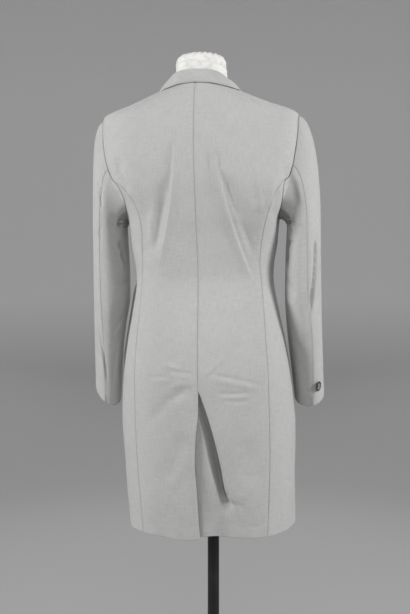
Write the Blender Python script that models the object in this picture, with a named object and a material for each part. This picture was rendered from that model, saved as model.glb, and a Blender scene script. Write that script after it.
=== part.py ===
"""A fitted overcoat on a limbless dress form with a pole and a round base.

Metres, +Z up. The coat's front faces -Y and the wearer's left is +X. The origin is under the base's middle.
"""

import bisect
import math

import bmesh
import bpy
import numpy as np

# Cloth and seams
CLOTH = 0.0025
SEAM_GAP = 0.0003
PIECE_GAP = 0.0004
SLEEVE_GAP = 0.0006

# Heights of the coat
HEM_Z = 0.500
VENT_TOP_Z = 0.787
ARM_ROWS_Z = 1.115
ARMHOLE_FLOOR_Z = 1.145
PANEL_SEAM_TOP_Z = 1.225
SHOULDER_TIP_Z = 1.3625
NECK_SEAM_Z = 1.430
ARM_STEPS = 6
SIDE_CELLS = 6
BACK_CELLS = 11
FRONT_CELLS = 8
FRONT_TOP_Z = 1.420
BREAK_Z = 1.095
BREAK_RUN = 0.030

# The worn form leans a little towards the wearer's left
LEAN_AT_HEM = 0.003
LEAN_SLOPE = 0.030

# Sleeves: the seams' columns round the armhole, the front seam's place and the rings below the armhole
BACK_SEAM_COLUMN = ARM_STEPS - 1
FRONT_SEAM_COLUMN = ARM_STEPS + SIDE_CELLS
FRONT_SEAM = 0.70
SLEEVE_HANG = 0.0150
SLEEVE_HANG_SLOPE = 0.007
SLEEVE_TURN = {1: -0.14, -1: 0.16}
SLEEVE_SLIM = {1: 0.92, -1: 1.0}
SLEEVE_OUT = {1: 0.004, -1: 0.0}
SLEEVE_LEVELS = (1.130, 1.075, 1.025, 0.975, 0.925, 0.875, 0.825, 0.773)

# Share of a fold's length over which it runs out
FOLD_END = 0.25

# Front closing
OVERLAP = 0.024
OVERLAP_RAMP = 0.030
LIFT_TOP_Z = 1.185
LIFT_RUN = 0.060
BUTTON_HEIGHTS = (1.075, 0.975, 0.875)
FRONT_BUTTON_RADIUS = 0.0125
CUFF_BUTTON_RADIUS = 0.0100
BUTTON_THICKNESS = 0.0035
BUTTON_SIDES = 16
CUFF_BUTTON_Z = 0.802
CUFF_BUTTON_SHARE = 0.17

# Back vent
TURN_RUN = 0.022
SHELF_SHARE = 0.55
COLUMN_RUN = 0.14
KICK_WIDTH = 0.05
KICK_HEIGHT = 0.12
UNDERLAP = 0.045
KICK = 0.003

# Dress form and stand
FORM_BOTTOM_Z = 0.800
FORM_PLATE_X = 0.178
FORM_SIDES = 28
NECK_TOP_Z = 1.500
NECK_HALF_X = 0.0510
NECK_HALF_Y = 0.0480
NECK_MIDDLE_Y = -0.012
NECK_EDGE = 0.014
POLE_RADIUS = 0.0122
BASE_RADIUS = 0.170
BASE_HEIGHT = 0.012
SOCKET_RADIUS = 0.021
SOCKET_HEIGHT = 0.055
EDGE_BEVEL = 0.004
POLE_SIDES = 24
BASE_SIDES = 40

# The worn shape: one row for each level section
SECTIONS = """
z       side    back    front   middle  square
0.500   0.1740  0.1400  0.1270  0.000   2.35
0.590   0.1785  0.1440  0.1300  0.000   2.35
0.720   0.1835  0.1450  0.1300  0.000   2.30
0.810   0.1780  0.1440  0.1270  0.002   2.30
0.890   0.1675  0.1320  0.1210  0.002   2.25
0.945   0.1575  0.1150  0.1150  0.002   2.20
1.025   0.1465  0.0960  0.1100  0.000   2.20
1.094   0.1560  0.0990  0.1220  0.000   2.20
1.145   0.1600  0.1060  0.1350  0.000   2.20
1.170   0.1680  0.1085  0.1380  0.000   2.25
1.219   0.2000  0.1120  0.1340  0.000   2.30
1.262   0.2110  0.1100  0.1180  0.000   2.30
1.315   0.2125  0.1040  0.1000  -0.001  2.30
1.3625  0.2100  0.0930  0.0820  -0.002  2.25
1.390   0.1475  0.0830  0.0740  -0.003  2.20
1.410   0.1020  0.0740  0.0680  -0.004  2.15
1.430   0.0566  0.0620  0.0600  -0.006  2.10
1.500   0.0566  0.0620  0.0600  -0.006  2.10
"""

# Where the seams lie, as the distance from the middle line
SEAMS = """
z       back    front
0.500   0.1250  0.1080
0.580   0.1310  0.1120
0.690   0.1360  0.1140
0.810   0.1365  0.1120
0.900   0.1320  0.1060
0.990   0.1265  0.1000
1.060   0.1215  0.1020
1.120   0.1200  0.1120
1.150   0.1240  0.1220
1.180   0.1360  0.1350
1.200   0.1500  0.1470
1.215   0.1660  0.1580
1.225   0.1810  0.1670
"""

ARMHOLE = """
z       back    front
1.225   0.1810  0.1670
1.262   0.1960  0.1800
1.315   0.2064  0.1960
1.3625  0.2100  0.2100
"""

# Largest folds of the back: where each starts and ends, its half width, and its rise (a ridge) or fall
FOLDS = """
z_top   x_top    x_low    z_low   width   rise
1.275   0.042    0.093    1.040   0.013   0.0045
1.215   0.060    0.110    1.060   0.012   -0.0035
1.275   -0.047   -0.117   1.010   0.013   0.0045
1.216   -0.068   -0.122   1.070   0.012   -0.0035
1.262   -0.176   -0.146   1.110   0.012   -0.0040
1.272   0.166    0.141    1.190   0.012   -0.0040
0.800   0.012    0.103    0.718   0.020   -0.0050
0.712   0.027    0.070    0.610   0.018   -0.0035
0.710   -0.088   -0.103   0.600   0.016   -0.0035
"""

# The open back vent: where the turned-in valley runs, its depth, and where the free edge hangs
VENT = """
z       valley  depth   edge
0.500   0.052   0.006   0.003
0.540   0.047   0.010   0.005
0.569   0.040   0.019   0.006
0.598   0.031   0.025   0.007
0.638   0.022   0.027   0.007
0.697   0.014   0.022   0.006
0.750   0.005   0.013   0.003
0.787   0.001   0.006   0.000
"""

# The sleeve below the armhole: one row for each ring, its middle, half width and half depth
SLEEVE = """
z       x       y       half_x  half_y  slant   seam
1.130   0.2090  -0.006  0.0355  0.066   0.00    0.215
1.050   0.2070  -0.007  0.0375  0.065   0.00    0.205
0.975   0.2065  -0.010  0.0385  0.062   0.04    0.205
0.900   0.2090  -0.018  0.0360  0.057   0.14    0.215
0.830   0.2135  -0.028  0.0330  0.053   0.28    0.230
0.773   0.2170  -0.036  0.0305  0.049   0.42    0.245
"""

# The turned collar from the middle of the back to the notch: fold line, outer edge, seat of the stand
COLLAR = """
along   fold_x  fold_y   fold_z  edge_x  edge_y  edge_z  seat_x  seat_y   seat_z
0.00    0.0000  0.0530   1.4540  0.0000  0.0730  1.4190  0.0000  0.0590   1.4320
0.16    0.0215  0.0485   1.4540  0.0310  0.0680  1.4190  0.0232  0.0535   1.4320
0.32    0.0400  0.0340   1.4535  0.0580  0.0520  1.4195  0.0425  0.0375   1.4320
0.48    0.0515  0.0120   1.4520  0.0790  0.0250  1.4205  0.0545  0.0135   1.4320
0.60    0.0550  -0.0100  1.4480  0.0890  -0.0040 1.4215  0.0572  -0.0100  1.4310
"""

# Lapel and collar, as (distance from the middle line, height)
ROLL_TOP = (0.0560, 1.4200)
ROLL_FOOT = (0.0000, BREAK_Z)
LAPEL_TIP = (0.1000, 1.3300)
LAPEL_FOOT = (0.0100, 1.1310)
LAPEL_FOOT_Z = 1.135
LAPEL_BELLY = 0.008
LAPEL_ROWS = 11
LAPEL_TOP_Z = 1.372
NOTCH_SHARE = 0.62
GORGE_GAP = 0.0009
COLLAR_TIP = (0.0990, 1.3660)
COLLAR_BACK_STATIONS = 10
FOLD_RADIUS = 0.0040
COLLAR_SAG = 0.0022
ROLL_HEIGHT = 0.0075


class Table:
    """Named columns of numbers, each read along the first column on a smooth curve through its rows."""

    def __init__(self, text):
        rows = [line.split() for line in text.split("\n") if line.strip()]
        numbers = sorted([float(item) for item in row] for row in rows[1:])
        self.names = rows[0][1:]
        self.keys = [row[0] for row in numbers]
        self.columns = {}
        self.slopes = {}
        for i, name in enumerate(self.names, start=1):
            column = [row[i] for row in numbers]
            self.columns[name] = column
            self.slopes[name] = steady_slopes(self.keys, column)

    def at(self, value, name):
        """The named column's value at this place along the first column."""
        keys, column, slopes = self.keys, self.columns[name], self.slopes[name]
        value = min(max(value, keys[0]), keys[-1])
        i = min(bisect.bisect_right(keys, value) - 1, len(keys) - 2)
        width = keys[i + 1] - keys[i]
        return hermite(
            (value - keys[i]) / width,
            column[i],
            slopes[i] * width,
            column[i + 1],
            slopes[i + 1] * width,
        )


def steady_slopes(keys, column):
    """Slopes for a smooth curve that doesn't swing past its rows."""
    steps = (np.diff(column) / np.diff(keys)).tolist()
    middle = [
        2 * a * b / (a + b) if a * b > 0 else 0.0 for a, b in zip(steps, steps[1:])
    ]
    return [steps[0], *middle, steps[-1]]


def hermite(t, start, leave, end, arrive):
    """A curve from start to end with the given directions at its ends."""
    return (
        start * (2 * t**3 - 3 * t**2 + 1)
        + leave * (t**3 - 2 * t**2 + t)
        + end * (3 * t**2 - 2 * t**3)
        + arrive * (t**3 - t**2)
    )


sections = Table(SECTIONS)
seams = Table(SEAMS)
armhole = Table(ARMHOLE)
vent = Table(VENT)
sleeve_rings = Table(SLEEVE)
collar_line = Table(COLLAR)
folds = Table(FOLDS)


def ease(t):
    """Runs smoothly from 0 to 1."""
    t = min(max(t, 0.0), 1.0)
    return t * t * (3 - 2 * t)


def lean(z):
    """How far the worn form is shifted towards +X at this height."""
    return LEAN_AT_HEM + LEAN_SLOPE * (z - HEM_Z)


def fold_relief(x, z):
    """How far the folds raise the back at this place, with each fold running out softly at both ends."""
    total = 0.0
    columns = folds.columns
    for i, z_top in enumerate(folds.keys):
        run_x = columns["x_low"][i] - columns["x_top"][i]
        run_z = columns["z_low"][i] - z_top
        from_x, from_z = x - columns["x_top"][i], z - z_top
        along = (from_x * run_x + from_z * run_z) / (run_x**2 + run_z**2)
        if not 0 < along < 1:
            continue
        off = math.hypot(from_x - along * run_x, from_z - along * run_z)
        across = math.exp(-((off / columns["width"][i]) ** 2))
        ends = ease(along / FOLD_END) * ease((1 - along) / FOLD_END)
        total += columns["rise"][i] * across * ends
    return total


def body_point(z, angle, folded=True):
    """A point of the worn shape. The angle starts at the middle of the back and grows towards +X."""
    side = sections.at(z, "side")
    depth = sections.at(z, "back" if math.cos(angle) > 0 else "front")
    square = sections.at(z, "square")
    middle = sections.at(z, "middle")
    across = abs(math.sin(angle)) / side
    along = abs(math.cos(angle)) / depth
    radius = (across**square + along**square) ** (-1 / square)
    if folded and math.cos(angle) > 0:
        radius += fold_relief(radius * math.sin(angle), z)
    return np.array(
        [radius * math.sin(angle) + lean(z), radius * math.cos(angle) + middle, z]
    )


def body_normal(z, angle, folded=True):
    """The worn shape's outward direction."""
    turn, step = 1e-4, 1e-3
    ahead = body_point(z, angle + turn, folded)
    round_it = ahead - body_point(z, angle - turn, folded)
    low, high = max(z - step, HEM_Z), min(z + step, sections.keys[-1])
    up = body_point(high, angle, folded) - body_point(low, angle, folded)
    normal = np.cross(up, round_it)
    return normal / np.linalg.norm(normal)


def angle_at(z, x, front=False):
    """The angle at which the section at z is x away from the middle line."""
    low, high = 0.0, math.pi / 2
    for _ in range(26):
        half = (low + high) / 2
        angle = math.pi - half if front else half
        if body_point(z, angle)[0] - lean(z) < x:
            low = half
        else:
            high = half
    return math.pi - low if front else low


def gap_angle(z, angle, gap=SEAM_GAP / 2):
    """The turn that moves a point of the section by half a seam gap."""
    step = 1e-3
    length = np.linalg.norm(body_point(z, angle + step) - body_point(z, angle))
    return gap * step / length


def seam_angle(z, front=False):
    """Where the panel seam, the armhole or the shoulder seam ends a panel at this height."""
    side = "front" if front else "back"
    if z >= SHOULDER_TIP_Z:
        return math.pi / 2
    rows = seams if z < PANEL_SEAM_TOP_Z else armhole
    return angle_at(z, rows.at(z, side), front)


def level_rows(top=NECK_SEAM_Z):
    """Heights of the rows that all body panels share."""
    hem_to_vent = np.linspace(HEM_Z, VENT_TOP_Z, 8)
    vent_to_arm = np.linspace(VENT_TOP_Z + 0.012, ARM_ROWS_Z, 10)
    arm = np.linspace(ARM_ROWS_Z, PANEL_SEAM_TOP_Z, 5)[1:]
    upper = np.linspace(PANEL_SEAM_TOP_Z, SHOULDER_TIP_Z, ARM_STEPS + 1)[1:]
    shoulder = np.linspace(SHOULDER_TIP_Z, NECK_SEAM_Z, 7)[1:]
    rows = np.concatenate([hem_to_vent, vent_to_arm, arm, upper, shoulder])
    return [z for z in rows if z <= top + 1e-9]


def vent_recess(z, x):
    """How far the right back is turned in at x to the right of the middle line."""
    if z > VENT_TOP_Z + 1e-9:
        return 0.0
    valley = vent.at(z, "valley")
    depth = vent.at(z, "depth")
    if x > valley:
        return depth * (1 - ease((x - valley) / TURN_RUN))
    shelf = max(SHELF_SHARE * depth, CLOTH + 3 * PIECE_GAP)
    return shelf + (depth - shelf) * (1 - ease((valley - x) / TURN_RUN))


def vent_columns(z, even):
    """The right back's columns: they follow the vent's valley, and are evenly spaced well above it."""
    near = ease(1 - (z - VENT_TOP_Z) / COLUMN_RUN)
    valley = vent.at(z, "valley")
    bends = [0.0, valley / 2, valley, valley + TURN_RUN / 2, valley + TURN_RUN]
    follow = [angle_at(z, x) if x else even[0] for x in bends]
    follow += np.linspace(follow[-1], even[-1], len(even) - len(bends) + 1)[1:].tolist()
    return [a + (b - a) * near for a, b in zip(even, follow)]


def grid_normals(points):
    """Normals of a grid of points, from its own rows and columns."""
    down = np.gradient(points, axis=0)
    across = np.gradient(points, axis=1)
    normals = np.cross(across, down)
    return normals / np.linalg.norm(normals, axis=2, keepdims=True)


def material(name, rgb, roughness, metallic=0.0):
    """A plain material in the part's own colour."""
    made = bpy.data.materials.get(name) or bpy.data.materials.new(name)
    made.use_nodes = True
    shader = made.node_tree.nodes["Principled BSDF"]
    shader.inputs["Base Color"].default_value = (*rgb, 1.0)
    shader.inputs["Roughness"].default_value = roughness
    shader.inputs["Metallic"].default_value = metallic
    return made


def add_object(name, shape, look, smooth_angle=50):
    """Turns a bmesh into a named object with a material."""
    if shape.calc_volume(signed=True) < 0:
        bmesh.ops.reverse_faces(shape, faces=shape.faces)
    mesh = bpy.data.meshes.new(name)
    shape.to_mesh(mesh)
    shape.free()
    mesh.shade_smooth()
    mesh.set_sharp_from_angle(angle=math.radians(smooth_angle))
    mesh.materials.append(look)
    made = bpy.data.objects.new(name, mesh)
    bpy.context.scene.collection.objects.link(made)
    return made


def wall(name, outer, normals, look, cells=None):
    """A cloth wall: a grid of outer points, the same points moved in, and the rim between them."""
    rows, columns = outer.shape[:2]
    if cells is None:
        cells = np.ones((rows - 1, columns - 1), bool)
    inner = outer - normals * CLOTH
    shape = bmesh.new()
    made = {}

    def corner(layer, i, j):
        if (layer, i, j) not in made:
            points = outer if layer == 0 else inner
            made[layer, i, j] = shape.verts.new(points[i, j])
        return made[layer, i, j]

    def present(i, j):
        return 0 <= i < rows - 1 and 0 <= j < columns - 1 and cells[i, j]

    for i in range(rows - 1):
        for j in range(columns - 1):
            if not present(i, j):
                continue
            loop = [(i, j), (i, j + 1), (i + 1, j + 1), (i + 1, j)]
            shape.faces.new([corner(0, *p) for p in loop])
            shape.faces.new([corner(1, *p) for p in reversed(loop)])
            beside = [(i - 1, j), (i, j + 1), (i + 1, j), (i, j - 1)]
            for k, other in enumerate(beside):
                if present(*other):
                    continue
                a, b = loop[k], loop[(k + 1) % 4]
                rim = [corner(0, *b), corner(0, *a), corner(1, *a), corner(1, *b)]
                shape.faces.new(rim)
    return add_object(name, shape, look)


def turned(name, profile, segments, look, closed=False):
    """A solid turned about Z from (radius, height) pairs, from axis to axis or round a closed outline."""
    shape = bmesh.new()
    verts = [shape.verts.new((r, 0, h)) for r, h in profile]
    pairs = list(zip(verts, verts[1:]))
    if closed:
        pairs.append((verts[-1], verts[0]))
    edges = [shape.edges.new(pair) for pair in pairs]
    bmesh.ops.spin(
        shape,
        geom=verts + edges,
        cent=(0, 0, 0),
        axis=(0, 0, 1),
        angle=2 * math.pi,
        steps=segments,
        use_merge=True,
    )
    bmesh.ops.remove_doubles(shape, verts=shape.verts, dist=1e-6)
    bmesh.ops.recalc_face_normals(shape, faces=shape.faces)
    return add_object(name, shape, look, smooth_angle=35)


def back_grid(side):
    """Outer points, normals and cells of a back panel. The wearer's left is side +1."""
    rows = level_rows()
    main = np.linspace(0, 1, BACK_CELLS + 1)
    lap = np.linspace(1, 0, 3)[:-1] if side < 0 else []
    points, normals, cells = [], [], []
    for z in rows:
        end = seam_angle(z) - gap_angle(z, seam_angle(z))
        in_vent = z <= VENT_TOP_Z + 1e-9
        edge = vent.at(z, "edge") if side > 0 and in_vent else 0.0
        start = angle_at(z, edge) + gap_angle(z, 0.0)
        lap_angle = angle_at(z, UNDERLAP)
        angles = [-lap_angle * share for share in lap]
        if in_vent and side < 0:
            start = 0.0
        even = [start + (end - start) * share for share in main]
        angles += vent_columns(z, even) if side < 0 else even
        row_points, row_normals = [], []
        for angle in angles:
            turned_angle = side * angle
            normal = body_normal(z, turned_angle)
            point = body_point(z, turned_angle)
            if side < 0:
                point = point - normal * vent_recess(z, lean(z) - point[0])
            elif in_vent:
                near = 1 - ease((point[0] - lean(z) - edge) / KICK_WIDTH)
                low = ease((VENT_TOP_Z - z) / KICK_HEIGHT)
                point = point + normal * KICK * near * low
            row_points.append(point)
            row_normals.append(normal)
        points.append(row_points)
        normals.append(row_normals)
    columns = len(points[0])
    for z in rows[1:]:
        in_vent = z <= VENT_TOP_Z + 1e-9
        cells.append([in_vent or column >= len(lap) for column in range(columns - 1)])
    return np.array(points), np.array(normals), np.array(cells)


def side_grid(side):
    """Outer points and normals of a side panel, from the back seam round to the front seam."""
    rows = level_rows(ARM_ROWS_Z)
    shares = np.linspace(0, 1, SIDE_CELLS + 1)
    rise = [0.25, 0.5, 0.75, 1.0]
    points, normals = [], []
    for step in [(z, 0.0) for z in rows] + [(rows[-1], share) for share in rise]:
        row_points, row_normals = [], []
        for share in shares:
            z = panel_height(step, share)
            start = seam_angle(z) + gap_angle(z, seam_angle(z))
            end = seam_angle(z, True) - gap_angle(z, seam_angle(z, True))
            angle = side * (start + (end - start) * share)
            row_points.append(body_point(z, angle))
            row_normals.append(body_normal(z, angle))
        points.append(row_points)
        normals.append(row_normals)
    return np.array(points), np.array(normals)


def panel_height(step, share):
    """The height of a side panel's point: level rows, then rows that rise to the armhole."""
    z, rise = step
    top = ARMHOLE_FLOOR_Z + armhole_rise(share)
    return z + rise * (top - z)


def armhole_rise(share):
    """How far the armhole has risen above its floor, across the side panel."""
    most = PANEL_SEAM_TOP_Z - ARMHOLE_FLOOR_Z
    return most * abs(2 * share - 1) ** 2.2


def roll_x(z):
    """The lapel's roll line, as the distance from the middle line."""
    share = (z - ROLL_FOOT[1]) / (ROLL_TOP[1] - ROLL_FOOT[1])
    return ROLL_FOOT[0] + (ROLL_TOP[0] - ROLL_FOOT[0]) * share


def front_lift(side, z, angle):
    """The right front lies on the left one past the middle line."""
    if side > 0:
        return 0.0
    x = body_point(z, angle)[0] - lean(z)
    near = ease((x + OVERLAP + OVERLAP_RAMP) / OVERLAP_RAMP)
    below = ease((LIFT_TOP_Z - z) / LIFT_RUN)
    return (CLOTH + 2 * PIECE_GAP) * near * below


def front_grid(side):
    """Outer points and normals of a front panel. Above the closing its edge follows the roll line."""
    rows = [z for z in level_rows() if z < FRONT_TOP_Z]
    rows = sorted(rows + [BREAK_Z, BREAK_Z + 0.010, BREAK_Z + BREAK_RUN])
    shares = np.linspace(0, 1, FRONT_CELLS + 1)
    points, normals = [], []
    for z in rows:
        start = seam_angle(z, True) + gap_angle(z, seam_angle(z, True))
        if z >= SHOULDER_TIP_Z:
            start = math.pi / 2 + gap_angle(z, math.pi / 2)
        if z > BREAK_Z:
            edge = angle_at(z, roll_x(z), front=True)
            past = 2 * math.pi - angle_at(z, OVERLAP, front=True)
            soft = ease((z - BREAK_Z) / BREAK_RUN)
            end = past + (edge - past) * soft
        else:
            end = 2 * math.pi - angle_at(z, OVERLAP, front=True)
        row_points, row_normals = [], []
        for share in shares:
            angle = side * (start + (end - start) * share)
            normal = body_normal(z, angle)
            row_points.append(
                body_point(z, angle) + normal * front_lift(side, z, angle)
            )
            row_normals.append(normal)
        points.append(row_points)
        normals.append(row_normals)
    return np.array(points), np.array(normals)


def front_skin(side, x, z, out):
    """A point on the front at x from the middle line, moved out from the cloth."""
    angle = angle_at(z, abs(x), front=True)
    angle = side * (angle if x >= 0 else 2 * math.pi - angle)
    normal = body_normal(z, angle)
    return body_point(z, angle) + normal * (out + front_lift(side, z, angle))


def lapel_grid(side):
    """A turned-back lapel: columns run from the front panel's edge over the roll to the outer edge."""
    rows = np.linspace(0, 1, LAPEL_ROWS)
    foot_x, foot_z = LAPEL_FOOT
    resting = CLOTH + PIECE_GAP
    turn = [
        (-0.0009, -CLOTH),
        (-0.0034, -0.0020),
        (-0.0056, 0.0008),
        (-0.0056, 0.0042),
        (-0.0034, 0.0068),
    ]
    flat = np.linspace(0, 1, 6)
    points = []
    for share in rows:
        roll_z = LAPEL_FOOT_Z + (LAPEL_TOP_Z - LAPEL_FOOT_Z) * share
        belly = math.sin(math.pi * share) * LAPEL_BELLY
        edge_x = foot_x + (LAPEL_TIP[0] - foot_x) * share**1.15 + belly
        edge_z = foot_z + (LAPEL_TIP[1] - foot_z) * share
        at = roll_x(roll_z)
        row = [front_skin(side, at + dx, roll_z, out) for dx, out in turn]
        for part in flat:
            x = at + (edge_x - at) * part
            z = roll_z + (edge_z - roll_z) * part
            out = resting + (ROLL_HEIGHT - resting) * (1 - ease(part * 1.4)) + CLOTH
            row.append(front_skin(side, x, z, out))
        points.append(row)
    return np.array(points)


def collar_half():
    """One half of the collar, from the middle of the back to the notch: rows run seat, fold, edge."""
    back = np.linspace(0, collar_line.keys[-1], COLLAR_BACK_STATIONS)
    rows = []
    for along in back:
        read = {name: collar_line.at(along, name) for name in collar_line.names}
        seat = np.array([read["seat_x"], read["seat_y"], read["seat_z"]])
        fold = np.array([read["fold_x"], read["fold_y"], read["fold_z"]])
        edge = np.array([read["edge_x"], read["edge_y"], read["edge_z"]])
        rows.append(collar_section(seat, fold, edge))
    return rows + collar_front_rows()


def collar_section(seat, fold, edge):
    """Points from the stand's seat up over the fold and down to the outer edge."""
    out = edge - fold
    out[2] = 0
    out = out / np.linalg.norm(out)
    up = np.array([0.0, 0.0, 1.0])
    radius = FOLD_RADIUS
    crest = fold + out * radius
    path = [seat, seat + (fold - seat) * 0.55]
    for degrees in (180, 130, 80, 30):
        turn = math.radians(degrees)
        path.append(crest + radius * (out * math.cos(turn) + up * math.sin(turn)))
    last = path[-1]
    for share in (0.3, 0.65, 1.0):
        sag = COLLAR_SAG * math.sin(math.pi * share)
        path.append(last + (edge - last) * share + (out * 0.6 + up) * sag)
    return path


def collar_front_rows():
    """The collar's front stretch, which lies on the front and ends at the notch."""
    made = []
    gorge = (roll_x(LAPEL_TOP_Z), LAPEL_TOP_Z)
    notch_x = gorge[0] + (LAPEL_TIP[0] - gorge[0]) * NOTCH_SHARE
    notch_z = gorge[1] + (LAPEL_TIP[1] - gorge[1]) * NOTCH_SHARE + GORGE_GAP
    ends = [(0.0935, 1.4090), (0.0985, 1.3930), (0.1005, 1.3790), COLLAR_TIP]
    ends.append((notch_x, notch_z))
    rolls = [1.4220, 1.4080, 1.3950, 1.3850, LAPEL_TOP_Z + GORGE_GAP]
    resting = CLOTH + 2 * PIECE_GAP
    turn = [
        (-0.0012, -CLOTH),
        (-0.0028, -0.0022),
        (-0.0050, 0.0000),
        (-0.0056, 0.0036),
        (-0.0044, 0.0066),
        (-0.0010, ROLL_HEIGHT + 0.001),
    ]
    for (edge_x, edge_z), roll_z in zip(ends, rolls):
        at = roll_x(roll_z)
        row = [front_skin(1, at + dx, roll_z, out) for dx, out in turn]
        for part in (0.3, 0.65, 1.0):
            x = at + (edge_x - at) * part
            z = roll_z + (edge_z - roll_z) * part
            out = resting + CLOTH + (ROLL_HEIGHT - resting - CLOTH) * (1 - ease(part))
            row.append(front_skin(1, x, z, out))
        made.append(row)
    return made


def collar_grid():
    """The whole collar, one column for each station from the wearer's right end to the left."""
    half = np.array(collar_half())
    for station in half[:COLLAR_BACK_STATIONS]:
        station[:, 0] += [lean(z) for z in station[:, 2]]
    mirror = half.copy()
    mirror[:, :, 0] = 2 * np.array([[lean(z) for z in row] for row in half[:, :, 2]])
    mirror[:, :, 0] -= half[:, :, 0]
    return np.concatenate([mirror[:0:-1], half])


def armhole_loop(side):
    """The armhole's points from the shoulder tip down the back and up the front, with their normals."""
    upper = np.linspace(SHOULDER_TIP_Z, PANEL_SEAM_TOP_Z, ARM_STEPS + 1)
    spots = [(z, seam_angle(z)) for z in upper]
    for share in np.linspace(0, 1, SIDE_CELLS + 1)[1:-1]:
        z = ARMHOLE_FLOOR_Z + armhole_rise(share)
        start, end = seam_angle(z), seam_angle(z, True)
        spots.append((z, start + (end - start) * share))
    spots += [(z, seam_angle(z, True)) for z in upper[:0:-1]]
    points = np.array([body_point(z, side * angle) for z, angle in spots])
    normals = np.array([body_normal(z, side * angle) for z, angle in spots])
    along = np.roll(points, -1, axis=0) - np.roll(points, 1, axis=0)
    edge = side * np.cross(along, normals)
    edge[0] = edge[1] + edge[-1]
    edge /= np.linalg.norm(edge, axis=1, keepdims=True)
    return points, normals, edge


def sleeve_ring(side, z, shares):
    """One ring of the hanging sleeve. Share 0 is the outer side, 0.25 the back, 0.5 the inner side."""
    read = {name: sleeve_rings.at(z, name) for name in sleeve_rings.names}
    turn = 2 * math.pi * np.asarray(shares)
    y = read["half_y"] * np.sin(turn)
    low = ease((1.0 - z) / 0.12)
    slim = 1 - (1 - SLEEVE_SLIM[side]) * low
    middle = read["x"] + read["half_x"] * (1 - slim) + SLEEVE_OUT[side] * low
    x = middle + read["half_x"] * slim * np.cos(turn) + SLEEVE_TURN[side] * low * y
    height = z - read["slant"] * y
    hang = SLEEVE_HANG + SLEEVE_HANG_SLOPE * (z - SLEEVE_LEVELS[-1])
    return np.stack([side * x + hang, read["y"] + y, height], axis=1)


def ring_shares(z):
    """Where the sleeve's columns lie round the ring at this height, with the seams in their places."""
    seam = sleeve_rings.at(z, "seam")
    back = np.linspace(0, seam, BACK_SEAM_COLUMN + 1)
    under = np.linspace(seam, FRONT_SEAM, FRONT_SEAM_COLUMN - BACK_SEAM_COLUMN + 1)
    front = np.linspace(FRONT_SEAM, 1.0, ARM_STEPS + 1)
    return np.concatenate([back, under[1:], front[1:-1]])


def sleeve_tube(side):
    """The whole sleeve as a closed tube of columns, from the armhole down to the cuff, with its normals."""
    top = sleeve_rings.keys[-1]
    shares = ring_shares(top)
    loop, facing, edge = armhole_loop(side)
    below = sleeve_ring(side, top, shares)
    height = (loop[:, 2] - loop[:, 2].min()) / np.ptp(loop[:, 2])
    outward = np.array([side, 0.0, 0.0])
    leave = edge * 0.4 + outward
    leave /= np.linalg.norm(leave, axis=1, keepdims=True)
    reach = (0.020 + 0.085 * height**1.5)[:, None]
    fall = (0.030 + 0.290 * height)[:, None]
    downward = np.array([0.0, 0.0, -1.0])
    first = loop + edge * SLEEVE_GAP
    points = [
        hermite(t, first, leave * reach, below, downward * fall)
        for t in (0, 0.08, 0.2, 0.36, 0.52, 0.68, 0.84)
    ]
    points += [sleeve_ring(side, z, ring_shares(z)) for z in SLEEVE_LEVELS]
    points = np.array(points)
    down = np.gradient(points, axis=0)
    across = np.roll(points, -1, axis=1) - np.roll(points, 1, axis=1)
    normals = side * np.cross(down, across)
    normals[0] = facing
    normals /= np.linalg.norm(normals, axis=2, keepdims=True)
    return points, normals


def sleeve_piece(side, first, last):
    """The tube's columns from one seam to the next, half a seam gap in from each."""
    points, normals = sleeve_tube(side)
    columns = np.arange(first, last + 1) % points.shape[1]
    points, normals = points[:, columns], normals[:, columns]
    for end, beside in ((0, 1), (-1, -2)):
        inward = points[:, beside] - points[:, end]
        inward /= np.linalg.norm(inward, axis=1, keepdims=True)
        points[:, end] += inward * SEAM_GAP / 2
    return points, normals


def form_rings():
    """Level rings of the dress form, from its flat foot up over the shoulders and the neck."""
    turns = np.linspace(0, 2 * math.pi, FORM_SIDES + 1)[:-1]
    heights = np.concatenate(
        [
            np.linspace(FORM_BOTTOM_Z, 1.145, 8),
            np.linspace(1.17, SHOULDER_TIP_Z - 0.01, 6),
            np.linspace(SHOULDER_TIP_Z, 1.402, 5),
        ]
    )
    rings = []
    for z in heights:
        inset = CLOTH + form_room(z)
        ring = []
        for angle in turns:
            point = body_point(z, angle, False) - body_normal(z, angle, False) * inset
            away = point[0] - lean(z)
            point[0] = lean(z) + min(max(away, -FORM_PLATE_X), FORM_PLATE_X)
            ring.append(point)
        rings.append(ring)
    for point in rings[0]:
        point[2] = FORM_BOTTOM_Z
    edge_z = NECK_TOP_Z - NECK_EDGE
    rings += [neck_ring(turns, z, 0.0) for z in (1.418, 1.446, edge_z)]
    for degrees in (35, 65, 90):
        turn = math.radians(degrees)
        rise = NECK_EDGE * math.sin(turn)
        rings.append(neck_ring(turns, edge_z + rise, NECK_EDGE * (1 - math.cos(turn))))
    return rings


def neck_ring(turns, z, inset):
    """One oval ring of the form's neck."""
    return [
        (
            (NECK_HALF_X - inset) * math.sin(angle) + lean(z),
            (NECK_HALF_Y - inset) * math.cos(angle) + NECK_MIDDLE_Y,
            z,
        )
        for angle in turns
    ]


def form_room(z):
    """Clearance between the cloth and the form: close at the shoulders, free below."""
    close = 0.0012 + 0.0030 * ease(1 - abs(z - 1.355) / 0.035)
    return close + 0.008 * ease((1.31 - z) / 0.06) + 0.004 * ease((1.0 - z) / 0.2)


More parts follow.
